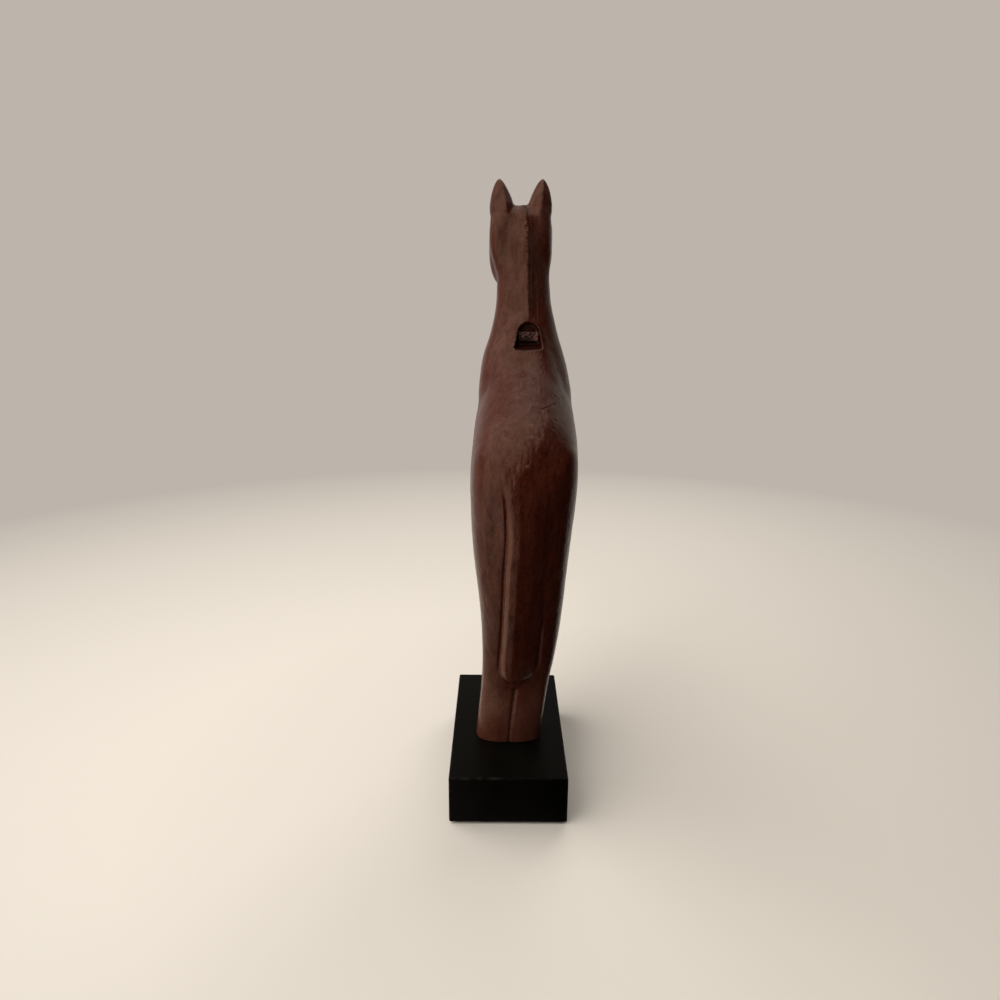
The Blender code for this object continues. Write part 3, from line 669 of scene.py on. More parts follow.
def pocket_outline():
    """The arch of the pocket's opening, as a share of half its width and half its height."""
    arch = 1 - POCKET_TAPER / (POCKET_WIDTH / 2)
    rise = arch * POCKET_WIDTH / POCKET_HEIGHT
    arc = [math.pi * step / 12 for step in range(13)]
    return [(-1, -1), (1, -1)] + [(arch * math.cos(a), 1 - rise + rise * math.sin(a)) for a in arc]


def pocket_section(y):
    """The pocket's ring at a place along the horse. It narrows from its mouth to its back wall."""
    share = mix(1.0, POCKET_NARROWING, (y - POCKET_MOUTH_Y) / POCKET_DEPTH)
    middle = POCKET_FLOOR_HEIGHT + POCKET_HEIGHT / 2
    half_width, half_height = share * POCKET_WIDTH / 2, share * POCKET_HEIGHT / 2
    return Section(y, middle, half_width, half_height, math.pi / 2, POCKET_OFFSET)


# Building meshes


def object_from(mesh, name):
    data = bpy.data.meshes.new(name)
    mesh.to_mesh(data)
    mesh.free()
    obj = bpy.data.objects.new(name, data)
    bpy.context.scene.collection.objects.link(obj)
    return obj


def reopened(obj):
    """The mesh of an object, ready for more work. The object goes."""
    mesh = bmesh.new()
    mesh.from_mesh(obj.data)
    bpy.data.objects.remove(obj)
    return mesh


def applied(obj):
    """Replaces an object's mesh by what its modifiers make of it."""
    bpy.context.view_layer.update()
    seen = obj.evaluated_get(bpy.context.evaluated_depsgraph_get())
    data = bpy.data.meshes.new_from_object(seen)
    obj.modifiers.clear()
    old = obj.data
    obj.data = data
    bpy.data.meshes.remove(old)
    return obj


def rub_down(obj, passes, group=""):
    """Adds smoothing to an object, or to one group of its vertices."""
    smooth = obj.modifiers.new("rub_down", "SMOOTH")
    smooth.factor = RUBBING
    smooth.iterations = passes
    smooth.vertex_group = group


def fuse(mesh, name, voxel, passes):
    """One closed skin round everything in the mesh, rubbed smooth."""
    obj = object_from(mesh, name)
    remesh = obj.modifiers.new("fuse", "REMESH")
    remesh.mode = "VOXEL"
    remesh.voxel_size = voxel
    rub_down(obj, passes)
    return applied(obj)


def cut(obj, mesh):
    """Cuts everything in the mesh out of the object."""
    cutter = object_from(mesh, "cutter")
    modifier = obj.modifiers.new("cut", "BOOLEAN")
    modifier.operation = "DIFFERENCE"
    modifier.solver = "EXACT"
    modifier.object = cutter
    applied(obj)
    bpy.data.objects.remove(cutter)


def placed(size, centre, turn):
    return Matrix.Translation(centre) @ turn @ Matrix.Diagonal((*size, 1.0))


def add_box(mesh, size, centre, turn=NO_TURN):
    bmesh.ops.create_cube(mesh, size=1.0, matrix=placed(size, centre, turn))


def add_ellipsoid(mesh, radii, centre, turn=NO_TURN):
    counts = {"u_segments": ROUND_SIDES, "v_segments": ROUND_SIDES // 2}
    bmesh.ops.create_uvsphere(mesh, radius=1.0, matrix=placed(radii, centre, turn), **counts)


def add_bore(mesh, diameter, low, high, place):
    centre = Matrix.Translation((place[0], place[1], (low + high) / 2))
    sizes = {"radius1": diameter / 2, "radius2": diameter / 2, "depth": high - low}
    bmesh.ops.create_cone(mesh, cap_ends=True, segments=ROUND_SIDES, matrix=centre, **sizes)


def vertex_values(data, name):
    values = np.empty(3 * len(data.vertices))
    data.vertices.foreach_get(name, values)
    return values.reshape(-1, 3)


def push_in(obj, depth):
    """Moves each vertex of an object inwards by its own depth."""
    points = vertex_values(obj.data, "co") - vertex_values(obj.data, "normal") * depth[:, None]
    obj.data.vertices.foreach_set("co", points.ravel())
    obj.data.update()


def noise_at(points, scale, seed):
    """Smooth noise between -1 and 1 at points, with scale in cells to the metre on each axis."""
    spots = points * np.array(scale) + seed
    return np.array([noise.noise(spot) for spot in spots.tolist()])


def scoops_at(points, scale):
    """How far points lie from the middles of scattered cells, from 0 to about 1."""
    spots = points * np.array(scale)
    return np.array([noise.voronoi(spot)[0][0] for spot in spots.tolist()])


def distances(points, place):
    return np.linalg.norm(points - np.array(place), axis=1)


def bump(values, middle, spread):
    """A soft bell of height 1 at the middle."""
    return np.exp(-(((values - middle) / spread) ** 2))


def fade_in(values, low, high):
    """0 below low, 1 above high and smooth between them."""
    share = np.clip((values - low) / (high - low), 0.0, 1.0)
    return share * share * (3 - 2 * share)


def fade_out(values, low, high):
    return 1 - fade_in(values, low, high)


def smooth_shaded(obj, sharp=50):
    obj.data.shade_smooth()
    obj.data.set_sharp_from_angle(angle=math.radians(sharp))


def painted(piece, material):
    piece.data.materials.clear()
    piece.data.materials.append(material)


def finished(piece, node, material):
    """Gives a piece its material and puts it in the place of a CAD node."""
    painted(piece, material)
    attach(piece, "root")
    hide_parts(node)


# The carved horse


def screw_places():
    """(x, y) of the four screws, one up each leg."""
    return [(side * SCREW_SPACING / 2, y) for y in (HIND_HOOF_Y, FORE_HOOF_Y) for side in SIDES]


def nape():
    """The broad flat back of the skull, flush with the backs of the ears."""
    half = HEAD_WIDTH / 2
    shape = [
        (0.056, -0.0065, half - 0.0090, 0.0070),
        (0.044, -0.0108, half - 0.0052, 0.0095),
        (0.030, -0.0132, half - 0.0014, 0.0115),
        (0.016, -0.0138, half - 0.0012, 0.0120),
        (0.007, -0.0132, half - 0.0024, 0.0105),
        (0.0055, -0.0118, 0.0160, 0.0065),
        (0.0030, -0.0098, 0.0090, 0.0045),
        (0.0005, -0.0080, 0.0045, 0.0025),
    ]
    return [
        Section(NECK_Y + back + depth, POLL_HEIGHT - below, width, depth, 0.0, EAR_OFFSET)
        for below, back, width, depth in shape
    ]


def rough_out():
    """Body, legs, neck and head, blended into one form."""
    mesh = bmesh.new()
    add_loft(mesh, trunk(), ridged(ellipse(2.6), SPINE_RIDGE))
    add_loft(mesh, hind_column(), ellipse(3.0))
    add_loft(mesh, fore_column(), ellipse(3.0))
    add_loft(mesh, neck(), ellipse(2.6))
    add_loft(mesh, cheeks(), ellipse(2.5), sway=head_middle)
    add_loft(mesh, withers(), ellipse(2.2))
    add_loft(mesh, crest(), crest_outline())
    for side in SIDES:
        add_loft(mesh, ear_root(side), ear_outline(side), sway=head_middle)
    add_loft(mesh, nape(), ellipse(4.0), sway=head_middle)
    add_loft(mesh, head(), ellipse(2.1), sway=head_middle)
    return fuse(mesh, "rough_form", ROUGH_VOXEL, ROUGH_PASSES)


def on_head(distance, raised):
    """A place in the head's middle plane, at a distance along its axis and raised square to it."""
    tilt = math.pi / 2 - HEAD_DROP
    upward = Vector((0, math.cos(tilt), math.sin(tilt)))
    return HEAD_FOOT + Vector((0, *head_point(distance))) + upward * raised


def eye_places():
    """Middles of the two eyes."""
    spot = on_head(EYE_PLACE * HEAD_LENGTH, EYE_RAISE)
    return [spot + Vector((side * EYE_SPREAD * HEAD_WIDTH, 0, 0)) for side in SIDES]


def add_details():
    """The rough form with ears, mane, tail and eyes added crisply and the deeper cuts made."""
    mesh = reopened(rough_out())
    for side in SIDES:
        add_loft(mesh, ear(side), ear_outline(side), sway=head_middle)
    add_loft(mesh, crest(), ridge_outline())
    add_loft(mesh, tail(), tail_outline())
    half = EYE_LENGTH / 2
    lean = Matrix.Rotation(-0.5 * HEAD_DROP, 4, "X")
    for place in eye_places():
        add_ellipsoid(mesh, (EYE_BULGE, half, 0.6 * half), place, lean)
    horse = fuse(mesh, "carved_horse", FINE_VOXEL, 0)
    cutters = bmesh.new()
    cut_grooves(cutters)
    cut_pocket(cutters)
    cut_face(cutters)
    cut(horse, cutters)
    return soften_ears(fuse(reopened(horse), "carved_horse", FINE_VOXEL, FINE_PASSES))


def cut_grooves(mesh):
    """Cutters for the grooves that part the legs."""
    for column, side, top in (
        (hind_column(), -1, TAIL_TIP_HEIGHT + 0.010),
        (hind_column(), 1, GROOVE_TOP),
        (fore_column(), -1, GROOVE_TOP),
        (fore_column(), 1, CHEST_GROOVE_TOP),
    ):
        reach = [s for s in between(column, LOFT_STEPS) if s.h <= top][:: LOFT_STEPS // 2]
        sections = []
        for s in reach:
            half = mix(GROOVE_FOOT_WIDTH, GROOVE_WIDTH, max(s.h, 0) / top) / 2
            sections.append(Section(s.y + side * s.half_depth, s.h, half, GROOVE_DEPTH))
        add_loft(mesh, sections, [(1, 0), (0, 1), (-1, 0), (0, -1)], 1)


def cut_pocket(mesh):
    """A cutter for the arch-topped pocket at the foot of the mane."""
    sections = [pocket_section(POCKET_MOUTH_Y + side * POCKET_DEPTH) for side in SIDES]
    add_loft(mesh, sections, pocket_outline(), 1)


def cut_face(mesh):
    """Cutters for the nostrils, the mouth and the hollows of the ears."""
    nose = on_head(NOSTRIL_PLACE * HEAD_LENGTH, NOSTRIL_RAISE)
    half = NOSTRIL_WIDTH / 2
    for side in SIDES:
        place = nose + Vector((side * NOSTRIL_SPREAD * HEAD_WIDTH, 0, 0))
        add_ellipsoid(mesh, (NOSTRIL_DEPTH, half, 0.8 * half), place)
        front = ear(side)[2]
        x = EAR_OFFSET + side * EAR_SPACING / 2
        place = HEAD_FOOT + Vector((x, front.y + front.half_depth, POLL_HEIGHT + EAR_HOLLOW_RISE))
        add_ellipsoid(mesh, (EAR_HOLLOW_WIDTH / 2, EAR_HOLLOW_DEPTH, EAR_HOLLOW_RISE), place)
    mouth = on_head(HEAD_LENGTH + MOUTH_CUTTER / 2 - MOUTH_LENGTH, -MOUTH_DROP)
    turn = Matrix.Rotation(-HEAD_DROP, 4, "X")
    add_box(mesh, (HEAD_WIDTH, MOUTH_CUTTER, MOUTH_WIDTH), mouth, turn)


def soften_ears(horse):
    """Rubs down the thin front edges of the ears."""
    points = vertex_values(horse.data, "co")
    high_up = heights(points) > POLL_HEIGHT + EAR_FRONT_RISE
    front = np.nonzero(high_up & (points[:, 1] > NECK_Y - EAR_FRONT_DEPTH))[0]
    group = horse.vertex_groups.new(name="ear_fronts")
    group.add(front.tolist(), 1.0, "REPLACE")
    rub_down(horse, EAR_PASSES, group.name)
    applied(horse)
    horse.vertex_groups.clear()
    return horse


def heights(points):
    """Heights of points above the block."""
    return points[:, 2] - DECK


def along(h, line):
    """Offsets at heights, from a line of (height, offset)."""
    return np.interp(h, [at for at, _ in line], [offset for _, offset in line])


def middle_at(h):
    """The figure's sideways offset at heights above the block."""
    steps = np.linspace(MIDLINE[0][0], MIDLINE[-1][0], 200)
    return along(h, [(step, drift(step)) for step in steps])


def tail_edges(h):
    """The tail's left and right edges at heights above the block, from the figure's middle line."""
    sections = between(tail(), LOFT_STEPS)
    return [along(h, [(s.h, s.x + side * s.half_width) for s in sections]) for side in SIDES]


def survey(horse):
    """Points of the surface, how far each faces back, how far right of the middle and how high it is."""
    points = vertex_values(horse.data, "co")
    h = heights(points)
    return points, -vertex_values(horse.data, "normal")[:, 1], points[:, 0] - middle_at(h), h


def fall_from_ridge(points, across, h):
    """The flatter cut right of a slanting ridge over the back, with chatter marks beside it."""
    wander = RIDGE_WANDER * noise_at(points, RIDGE_CELLS, 9.1)
    beyond = across - along(h, RIDGE_LINE) + wander
    on_back = fade_in(h, *RIDGE_START) * fade_out(points[:, 1], *RIDGE_END)
    fall = RIDGE_FALL * np.clip(beyond, 0.0, FALL_WIDTH) * fade_out(beyond, *FALL_END)
    chatter = CHATTER_DEPTH * noise_at(points, CHATTER_CELLS, 5.3)
    return (fall + chatter * bump(beyond, *CHATTER_BAND)) * on_back


def cracks_and_dents(points):
    """A short crack beside the spine and small dents round it."""
    depth = np.zeros(len(points))
    steps = np.linspace(0.0, 1.0, CRACK_STEPS)[:, None]
    for first, last in zip(CRACK, CRACK[1:]):
        for spot in mix(np.array(first), np.array(last), steps):
            depth = np.maximum(depth, CRACK_DEPTH * bump(distances(points, spot), 0.0, CRACK_WIDTH))
    for place in DENTS:
        depth = np.maximum(depth, CRACK_DEPTH * bump(distances(points, place), 0.0, DENT_WIDTH))
    return depth


def lid_lines(points):
    """A lid line round each eye."""
    depth = np.zeros(len(points))
    for place in eye_places():
        away = np.linalg.norm((points - np.array(place)) / np.array(LID_SQUASH), axis=1)
        depth += LID_DEPTH * bump(away, *LID_BAND)
    return depth


def lip_line(points):
    """The parting of the lips round the muzzle."""
    offset = points - np.array(on_head(0.0, 0.0))
    ahead = offset @ np.array((0, math.cos(HEAD_DROP), -math.sin(HEAD_DROP)))
    above = offset @ np.array((0, math.sin(HEAD_DROP), math.cos(HEAD_DROP)))
    start, full = (HEAD_LENGTH - reach for reach in LIP_REACH)
    return LIP_DEPTH * bump(above, -MOUTH_DROP, LIP_WIDTH) * fade_in(ahead, start, full)


def mane_marks(points, facing, across, h):
    """Chips out of the mane's ridge, and a fine bead along the foot of its right facet."""
    from_behind = fade_in(facing, 0.1, 0.4) * fade_in(points[:, 1], *CREST_START)
    chips = fade_in(noise_at(points, CHIP_CELLS, 2.2), 0.05, 0.45) * bump(across, *CHIP_BAND)
    bead = bump(across, along(h, BEAD_LINE), BEAD_WIDTH)
    bead *= fade_in(h, *BEAD_START) * fade_out(h, *BEAD_END)
    return (CHIP_DEPTH * chips * fade_in(h, *CHIP_START) - BEAD_HEIGHT * bead) * from_behind


def tail_cuts(points, facing, across, h):
    """The cuts along the tail's edges and the hollow of the left haunch beside it."""
    from_behind = fade_in(facing, 0.05, 0.4) * fade_out(points[:, 1], *HIND_END)
    left_edge, right_edge = tail_edges(h)
    on_tail = fade_in(h, TAIL_TIP_HEIGHT + 0.004, TAIL_TIP_HEIGHT + 0.02) * fade_out(h, *TAIL_CUT_END)
    left = bump(across - left_edge, *LEFT_CUT_BAND)
    right = bump(across - right_edge, *RIGHT_CUT_BAND) * fade_out(h, *RIGHT_CUT_END)
    hollow = bump(across, *HOLLOW_BAND) * bump(h, *HOLLOW_LEVEL)
    return (TAIL_CUT_DEPTH * (left + right) * on_tail + HOLLOW_DEPTH * hollow) * from_behind


def carve(horse):
    """The finer cuts and marks, as small depths below the smooth form."""
    points, facing, across, h = survey(horse)
    depth = tail_cuts(points, facing, across, h) + mane_marks(points, facing, across, h)
    depth += fall_from_ridge(points, across, h) + cracks_and_dents(points)
    depth += lid_lines(points) + lip_line(points)
    depth += TOOL_DEPTH * (scoops_at(points, TOOL_CELLS) - TOOL_ZERO)
    depth += RASP_DEPTH * noise_at(points, RASP_CELLS, 3.7)
    push_in(horse, depth)


def in_pocket(points, h):
    """1 on the pocket's walls and 0 elsewhere."""
    depth = (points[:, 1] - POCKET_MOUTH_Y) / POCKET_DEPTH
    share = mix(1.0, POCKET_NARROWING, depth)
    u = (points[:, 0] - middle_at(h) - POCKET_OFFSET) / (share * POCKET_WIDTH / 2)
    w = (h - POCKET_FLOOR_HEIGHT - POCKET_HEIGHT / 2) / (share * POCKET_HEIGHT / 2)
    arch = 1 - POCKET_TAPER / (POCKET_WIDTH / 2)
    spring = arch * POCKET_WIDTH / POCKET_HEIGHT
    above = np.maximum(w - 1 + spring, 0.0) / spring
    inside = (u / mix(1.0, arch, np.clip((w + 1) / 2, 0, 1))) ** 2 + above**2 < 1.12
    return (inside & (w > -1.08) & (abs(depth) < 1.1)).astype(float)


def mark_painted_light(horse):
    """Painted light as a number for each vertex: above 0 a painted highlight on the tail's bevel and
    painted glints, below 0 painted shade in the pocket.
    """
    points, facing, across, h = survey(horse)
    beside = across - tail_edges(h)[0]
    # Painted highlight on the tail's left bevel, which faces the key light
    bevel = fade_in(beside, *BEVEL_START) * fade_out(beside, *BEVEL_END)
    bevel *= fade_in(h, TAIL_TIP_HEIGHT, TAIL_TIP_HEIGHT + 0.01) * fade_out(h, *BEVEL_TOP)
    bevel *= fade_in(facing, 0.1, 0.4)
    # Painted glints along the mane's ridge and at spots on the back
    glints = bump(across, *GLINT_BAND) * fade_out(points[:, 1], *GLINT_REACH)
    glints *= fade_in(h, *GLINT_START) * fade_out(h, *GLINT_END)
    glints *= fade_in(noise_at(points, GLINT_CELLS, 6.1), -0.1, 0.2)
    broken = fade_in(noise_at(points, GLINT_SPOT_CELLS, 7.7), -0.2, 0.2)
    for place in GLINT_SPOTS:
        glints = np.maximum(glints, broken * bump(distances(points, place), 0.0, GLINT_SPOT_WIDTH))
    # Painted highlight and glints add to it, and painted shade in the pocket takes from it
    wear_and_painted_light = BEVEL_HIGHLIGHT * bevel + glints + POCKET_SHADE * in_pocket(points, h)
    values = horse.data.attributes.new("wear_and_painted_light", "FLOAT", "POINT")
    values.data.foreach_set("value", wear_and_painted_light.astype(np.float32))


def make_horse():
    horse = add_details()
    carve(horse)
    ground = bmesh.new()
    add_box(ground, GROUND_BOX, (0, 0, DECK + SOLE - GROUND_BOX[2] / 2))
    cut(horse, ground)
    bores = bmesh.new()
    for place in screw_places():
        top = DECK + SCREW_BITE + BORE_SPARE
        add_bore(bores, SCREW_DIAMETER + 2 * SEAT_GAP, DECK - BORE_BELOW, top, place)
    cut(horse, bores)
    mark_painted_light(horse)
    smooth_shaded(horse)
    return horse


def make_stub(node):
    """The torn end of the tenon, roughened inwards from the plain stub."""
    mesh = bmesh.new()
    mesh.from_mesh(node.data)
    mesh.transform(node.matrix_world)
    stub = fuse(mesh, "torn_stub", STUB_VOXEL, 0)
    points = vertex_values(stub.data, "co")
    low, high = points[:, 2].min(), points[:, 2].max()
    share = (points[:, 2] - low) / (high - low)
    torn = fade_in(noise_at(points, TORN_CELLS, 4.4), -0.4, 0.4)
    strips = fade_in(noise_at(points, STRIP_CELLS, 1.3), -0.3, 0.3)
    push_in(stub, TORN_DEPTH * (TORN_SHARE * torn + (1 - share) * strips))
    smooth_shaded(stub, 30)
    return stub


# Materials


def node_material(name):
    """A new material with its node tree and Principled shader."""
    made = bpy.data.materials.new(name)
    made.use_nodes = True
    return made, made.node_tree, made.node_tree.nodes["Principled BSDF"]


def set_inputs(tree, node, **values):
    """Sets a node's named inputs to numbers and colours, or links them to other sockets."""
    for name, value in values.items():
        socket = node.inputs[name.replace("_", " ")]
        if isinstance(value, bpy.types.NodeSocket):
            tree.links.new(value, socket)
        else:
            socket.default_value = value
    return node


def add_node(tree, kind, **values):
    return set_inputs(tree, tree.nodes.new(f"ShaderNode{kind}"), **values)


def opaque(colour):
    return (*colour, 1.0)


def math_node(tree, operation, *values):
    """A calculation on linked values."""
    node = tree.nodes.new("ShaderNodeMath")
    node.operation = operation
    for socket, value in zip(node.inputs, values):
        tree.links.new(value, socket)
    return node.outputs[0]


def own_place(tree):
    """Coordinates of the piece in metres."""
    return tree.nodes.new("ShaderNodeTexCoord").outputs["Object"]


def noise_node(tree, scale, detail, distortion=0.0):
    """Noise with a scale in cells to the metre on each axis."""
    place = add_node(tree, "Mapping", Vector=own_place(tree), Scale=scale).outputs["Vector"]
    node = add_node(tree, "TexNoise", Vector=place, Scale=1.0, Detail=detail, Distortion=distortion)
    return node.outputs["Fac"]


def ramp(tree, value, stops):
    """Colours along a value, from (place, colour) stops."""
    node = add_node(tree, "ValToRGB", Fac=value)
    elements = node.color_ramp.elements
    while len(elements) < len(stops):
        elements.new(0.5)
    for element, (place, colour) in zip(elements, stops):
        element.position = place
        element.color = opaque(colour)
    return node.outputs["Color"]


def spread(tree, value, low, high, to_low=0.0, to_high=1.0):
    """A value moved from one range to another and kept inside it."""
    ends = {"From_Min": low, "From_Max": high, "To_Min": to_low, "To_Max": to_high}
    return add_node(tree, "MapRange", Value=value, **ends).outputs["Result"]


def blend(tree, share, first, second):
    """Two colours mixed by a share."""
    node = tree.nodes.new("ShaderNodeMix")
    node.data_type = "RGBA"
    for socket, value in ((node.inputs[0], share), (node.inputs[6], first), (node.inputs[7], second)):
        if isinstance(value, bpy.types.NodeSocket):
            tree.links.new(value, socket)
        else:
            socket.default_value = opaque(value)
    return node.outputs[2]


def add_bump(tree, shader, height, distance, strength, under=None):
    node = add_node(tree, "Bump", Height=height, Distance=distance, Strength=strength)
    if under is not None:
        tree.links.new(under, node.inputs["Normal"])
    tree.links.new(node.outputs["Normal"], shader.inputs["Normal"])
    return node.outputs["Normal"]


def painted_bounce_share(tree):
    """Painted bounce light from the floor on the lower legs, lighter towards the bottom, as an uneven
    share that fades with height.
    """
    height = add_node(tree, "SeparateXYZ", Vector=own_place(tree)).outputs["Z"]
    uneven = spread(tree, noise_node(tree, (90.0, 90.0, 60.0), 5.0), 0.3, 0.7, 0.35, 1.0)
    return math_node(tree, "MULTIPLY", spread(tree, height, BOUNCE_TOP, BOUNCE_FULL, 0.0, 0.8), uneven)


def stained_wood():
    made, tree, shader = node_material("stained_wood")
    grain = noise_node(tree, (420.0, 420.0, 16.0), 5.0, 0.5)
    patches = noise_node(tree, (34.0, 34.0, 18.0), 3.0)
    pores = noise_node(tree, (1700.0, 1700.0, 70.0), 2.0)
    blotches = noise_node(tree, (170.0, 170.0, 75.0), 6.0, 0.6)
    specks = noise_node(tree, (620.0, 620.0, 420.0), 3.0)
    # Painted light from the vertices: highlight and glints above 0, shade in the pocket below 0
    attribute = tree.nodes.new("ShaderNodeAttribute")
    attribute.attribute_name = "wear_and_painted_light"
    wear_and_painted_light = attribute.outputs["Fac"]
    # How sharply the surface bends out, about 0.5 where it is flat
    bend = tree.nodes.new("ShaderNodeNewGeometry").outputs["Pointiness"]
    layers = [
        (patches, 0.35, 0.70, 0.45, DARK_STAIN),
        (blotches, 0.50, 0.72, 0.60, AGED_STAIN),
        (blotches, 0.46, 0.28, 0.55, LIGHT_STAIN),
        (pores, 0.62, 0.70, 0.60, PORE_AND_SHADE_COLOUR),
        (specks, 0.54, 0.68, 0.40, PORE_AND_SHADE_COLOUR),
        (specks, 0.44, 0.32, 0.45, LIGHT_STAIN),
        # Painted highlight on the tail's bevel and painted glints
        (wear_and_painted_light, 0.0, 1.0, 1.0, WORN_AND_HIGHLIGHT_STAIN),
        # Painted shade in the pocket
        (wear_and_painted_light, 0.0, -1.0, 1.0, PORE_AND_SHADE_COLOUR),
        (bend, 0.53, 0.60, 0.75, WORN_AND_HIGHLIGHT_STAIN),
        # Painted shade: concave hollows and creases darkened by how sharply they bend in
        (bend, 0.45, 0.36, 0.60, PORE_AND_SHADE_COLOUR),
    ]
    colour = ramp(tree, grain, [(0.30, DARK_STAIN), (0.52, STAIN), (0.75, LIGHT_STAIN)])
    for value, none, full, most, tint in layers:
        colour = blend(tree, spread(tree, value, none, full, 0.0, most), colour, tint)
    set_inputs(
        tree,
        shader,
        # Painted bounce light from the floor on the lower legs
        Base_Color=blend(tree, painted_bounce_share(tree), colour, BOUNCE_LIT_STAIN),
        Roughness=spread(tree, patches, 0.3, 0.7, 0.23, 0.34),
        Specular_IOR_Level=spread(tree, blotches, 0.30, 0.70, 0.29, 0.15),
        Specular_Tint=opaque(VARNISH_TINT),
    )
    fine = add_bump(tree, shader, pores, 0.00005, 0.5)
    rubbed = add_bump(tree, shader, grain, 0.00012, 0.35, fine)
    dented = add_bump(tree, shader, specks, 0.00035, 0.7, rubbed)
    add_bump(tree, shader, blotches, 0.0006, 0.25, dented)
    return made


def rough_wood():
    made, tree, shader = node_material("rough_wood")
    fibre = noise_node(tree, (900.0, 900.0, 220.0), 5.0, 0.8)
    colour = ramp(tree, fibre, [(0.38, PORE_AND_SHADE_COLOUR), (0.54, STAIN), (0.68, TORN_WOOD)])
    set_inputs(tree, shader, Base_Color=colour, Roughness=spread(tree, fibre, 0.3, 0.7, 0.55, 0.8))
    add_bump(tree, shader, fibre, 0.0004, 0.8)
    return made


def near_edges(tree):
    """1 on the block's bevelled edges and 0 on its faces, from how many faces a point is close to."""
    offset = add_node(tree, "VectorMath", Vector=own_place(tree))
    offset.operation = "SUBTRACT"
    offset.inputs[1].default_value = (0.0, 0.0, DECK - BLOCK_HEIGHT / 2)
    axes = add_node(tree, "SeparateXYZ", Vector=offset.outputs["Vector"])
    close = []
    for axis, size in zip("XYZ", (BLOCK_WIDTH, BLOCK_LENGTH, BLOCK_HEIGHT)):
        away = math_node(tree, "ABSOLUTE", axes.outputs[axis])
        close.append(spread(tree, away, size / 2 - 1.5 * BLOCK_EDGE, size / 2 - 0.5 * BLOCK_EDGE))
    count = math_node(tree, "ADD", math_node(tree, "ADD", close[0], close[1]), close[2])
    return spread(tree, count, 1.1, 1.6)


def black_paint():
    made, tree, shader = node_material("black_paint")
    strokes = noise_node(tree, (500.0, 26.0, 500.0), 4.0, 0.3)
    patches = noise_node(tree, (40.0, 40.0, 40.0), 3.0)
    dust = noise_node(tree, (2600.0, 2600.0, 2600.0), 1.0)
    colour = ramp(tree, patches, [(0.3, PAINT), (0.7, FADED_PAINT)])
    colour = blend(tree, spread(tree, dust, 0.70, 0.78, 0.0, 0.35), colour, DUST_COLOUR)
    wear_and_painted_light = spread(tree, noise_node(tree, (160.0, 160.0, 160.0), 4.0), 0.50, 0.62, 0.0, 0.6)
    colour = blend(tree, math_node(tree, "MULTIPLY", near_edges(tree), wear_and_painted_light), colour, WORN_PAINT)
    roughness = spread(tree, patches, 0.3, 0.7, 0.40, 0.55)
    set_inputs(tree, shader, Base_Color=colour, Roughness=roughness, Specular_IOR_Level=0.04)
    add_bump(tree, shader, strokes, 0.00015, 0.4)
    return made


def black_felt():
    made, tree, shader = node_material("black_felt")
    wool = noise_node(tree, (1500.0, 1500.0, 1500.0), 6.0, 1.2)
    colour = ramp(tree, wool, [(0.3, DARK_FELT), (0.7, PALE_FELT)])
    set_inputs(tree, shader, Base_Color=colour, Roughness=0.95, Sheen_Weight=0.3)
    add_bump(tree, shader, wool, 0.0004, 0.9)
    return made


def zinc_steel():
    made, tree, shader = node_material("zinc_steel")
    stain = noise_node(tree, (700.0, 700.0, 700.0), 4.0)
    colour = ramp(tree, stain, [(0.3, DARK_ZINC), (0.7, PALE_ZINC)])
    roughness = spread(tree, stain, 0.3, 0.7, 0.28, 0.45)
    set_inputs(tree, shader, Base_Color=colour, Metallic=1.0, Roughness=roughness)
    add_bump(tree, shader, stain, 0.00005, 0.4)
    return made


# The stage


def seen_or_mirrored(tree):
    """1 for rays from the camera, a mirror or clear glass and 0 for diffuse light."""
    path = tree.nodes.new("ShaderNodeLightPath")
    seen = path.outputs["Is Camera Ray"]
    for name in ("Is Glossy Ray", "Is Transmission Ray"):
        seen = math_node(tree, "MAXIMUM", seen, path.outputs[name])
    return seen


def show_either(tree, share, first, second, output):
    """Shows the first shader where the share is 0 and the second where it is 1."""
    both = tree.nodes.new("ShaderNodeMixShader")
    for socket, value in zip(both.inputs, (share, first.outputs[0], second.outputs[0])):
        tree.links.new(value, socket)
    tree.links.new(both.outputs[0], output.inputs["Surface"])


def make_floor():
    mesh = bmesh.new()
    bmesh.ops.create_circle(mesh, cap_ends=True, segments=96, radius=FLOOR_RADIUS)
    floor = object_from(mesh, "floor")
    floor.location.z = -FLOOR_DROP
    made, tree, shader = node_material("pale_floor")
    colour = blend(tree, seen_or_mirrored(tree), FLOOR_BOUNCE, FLOOR_COLOUR)
    set_inputs(tree, shader, Base_Color=colour, Roughness=0.9, Specular_IOR_Level=0.1)
    far = add_node(tree, "VectorMath", Vector=own_place(tree))
    far.operation = "LENGTH"
    faded = spread(tree, far.outputs["Value"], FADE_START, FADE_END)
    share = math_node(tree, "MULTIPLY", faded, seen_or_mirrored(tree))
    backdrop = add_node(tree, "Emission", Color=opaque(BACKDROP_COLOUR), Strength=1.0)
    show_either(tree, share, shader, backdrop, tree.nodes["Material Output"])
    floor.data.materials.append(made)


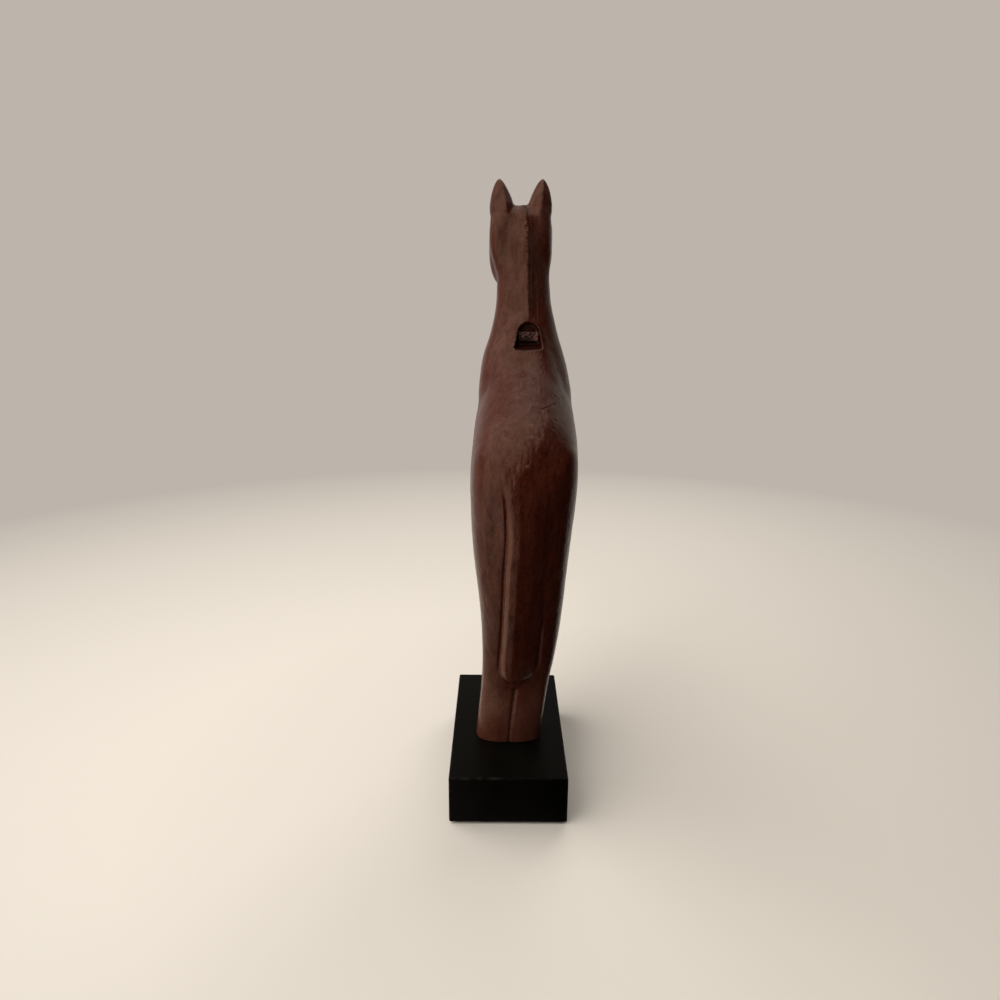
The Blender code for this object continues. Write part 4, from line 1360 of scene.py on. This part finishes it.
def make_screen(name, profile, start, end, glow=0.0):
    """A curved screen that only gloss sees, from one bearing to another."""
    mesh = bmesh.new()
    posts = []
    for step in range(SCREEN_STEPS + 1):
        angle = mix(start, end, step / SCREEN_STEPS)
        sine, cosine = math.sin(angle), math.cos(angle)
        posts.append([mesh.verts.new((radius * sine, -radius * cosine, z)) for radius, z in profile])
    for left, right in zip(posts, posts[1:]):
        for low in range(len(profile) - 1):
            mesh.faces.new((left[low], right[low], right[low + 1], left[low + 1]))
    screen = object_from(mesh, name)
    made, tree, shader = node_material(name)
    set_inputs(tree, shader, Base_Color=opaque(SCREEN_COLOUR), Roughness=1.0, Specular_IOR_Level=0.0)
    set_inputs(tree, shader, Emission_Color=opaque(LIGHT_COLOUR), Emission_Strength=glow)
    screen.data.materials.append(made)
    screen.visible_camera = False
    screen.visible_diffuse = False
    screen.visible_shadow = False


def make_screens():
    """Dark screens at the right and pale cards at the left and above, for the sheen of the wood."""
    card = [(CARD_RADIUS, z) for z in (0.0, CARD_FOOT, CARD_TOP)]
    make_screen("dark_screen", SCREEN_PROFILE, SCREEN_START, CARD_END)
    make_screen("side_screen", SCREEN_PROFILE, CARD_END, SCREEN_END)
    make_screen("high_screen", HIGH_SCREEN, CARD_END, SCREEN_END)
    make_screen("pale_card", card[:2], CARD_START, SCREEN_START, CARD_GLOW)
    make_screen("upper_card", card[1:], UPPER_START, CARD_END, UPPER_GLOW)
    make_screen("roof_card", [card[2], (ROOF_HOLE, CARD_TOP)], -math.pi, math.pi, UPPER_GLOW)


def make_light(name, place, size, power):
    """A soft lamp that gloss doesn't see."""
    lamp = bpy.data.lights.new(name, "AREA")
    lamp.shape = "RECTANGLE"
    lamp.size, lamp.size_y = size
    lamp.energy = power
    lamp.color = LIGHT_COLOUR
    light = bpy.data.objects.new(name, lamp)
    light.location = place
    aim = Vector(LIGHT_TARGET) - Vector(place)
    light.rotation_euler = aim.to_track_quat("-Z", "Y").to_euler()
    light.visible_camera = False
    light.visible_glossy = False
    bpy.context.scene.collection.objects.link(light)


def make_world():
    """Soft light from all round, with a pale backdrop where it is seen or mirrored."""
    world = bpy.data.worlds.new("studio")
    world.use_nodes = True
    tree = world.node_tree
    tree.nodes.clear()
    fill = add_node(tree, "Background", Color=opaque(FILL_COLOUR), Strength=FILL_STRENGTH)
    backdrop = add_node(tree, "Background", Color=opaque(BACKDROP_COLOUR), Strength=1.0)
    show_either(tree, seen_or_mirrored(tree), fill, backdrop, tree.nodes.new("ShaderNodeOutputWorld"))
    bpy.context.scene.world = world


def make_camera():
    lens = bpy.data.cameras.new("camera")
    lens.sensor_width = SENSOR
    lens.lens = FOCAL_PIXELS * SENSOR / IMAGE_PIXELS
    camera = bpy.data.objects.new("camera", lens)
    tilt = Matrix.Rotation(math.radians(90 - CAMERA_DOWN), 4, "X")
    roll = Matrix.Rotation(math.radians(CAMERA_ROLL), 4, "Z")
    camera.matrix_world = Matrix.Translation(CAMERA_PLACE) @ tilt @ roll
    bpy.context.scene.collection.objects.link(camera)
    bpy.context.scene.camera = camera


def dress_nodes(nodes):
    """Materials for the pieces that keep their CAD meshes."""
    steel = zinc_steel()
    painted(nodes["base_block"], black_paint())
    painted(nodes["felt_sheet"], black_felt())
    for name, node in nodes.items():
        if name.endswith(("_screw", "_washer")):
            painted(node, steel)


def main():
    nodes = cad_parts
    finished(make_horse(), "horse_carving", stained_wood())
    finished(make_stub(nodes["tenon_stub"]), "tenon_stub", rough_wood())
    dress_nodes(nodes)
    make_floor()
    make_screens()
    for lamp in LAMPS:
        make_light(*lamp)
    make_world()
    make_camera()
    bpy.context.scene.view_settings.view_transform = "Standard"


main()
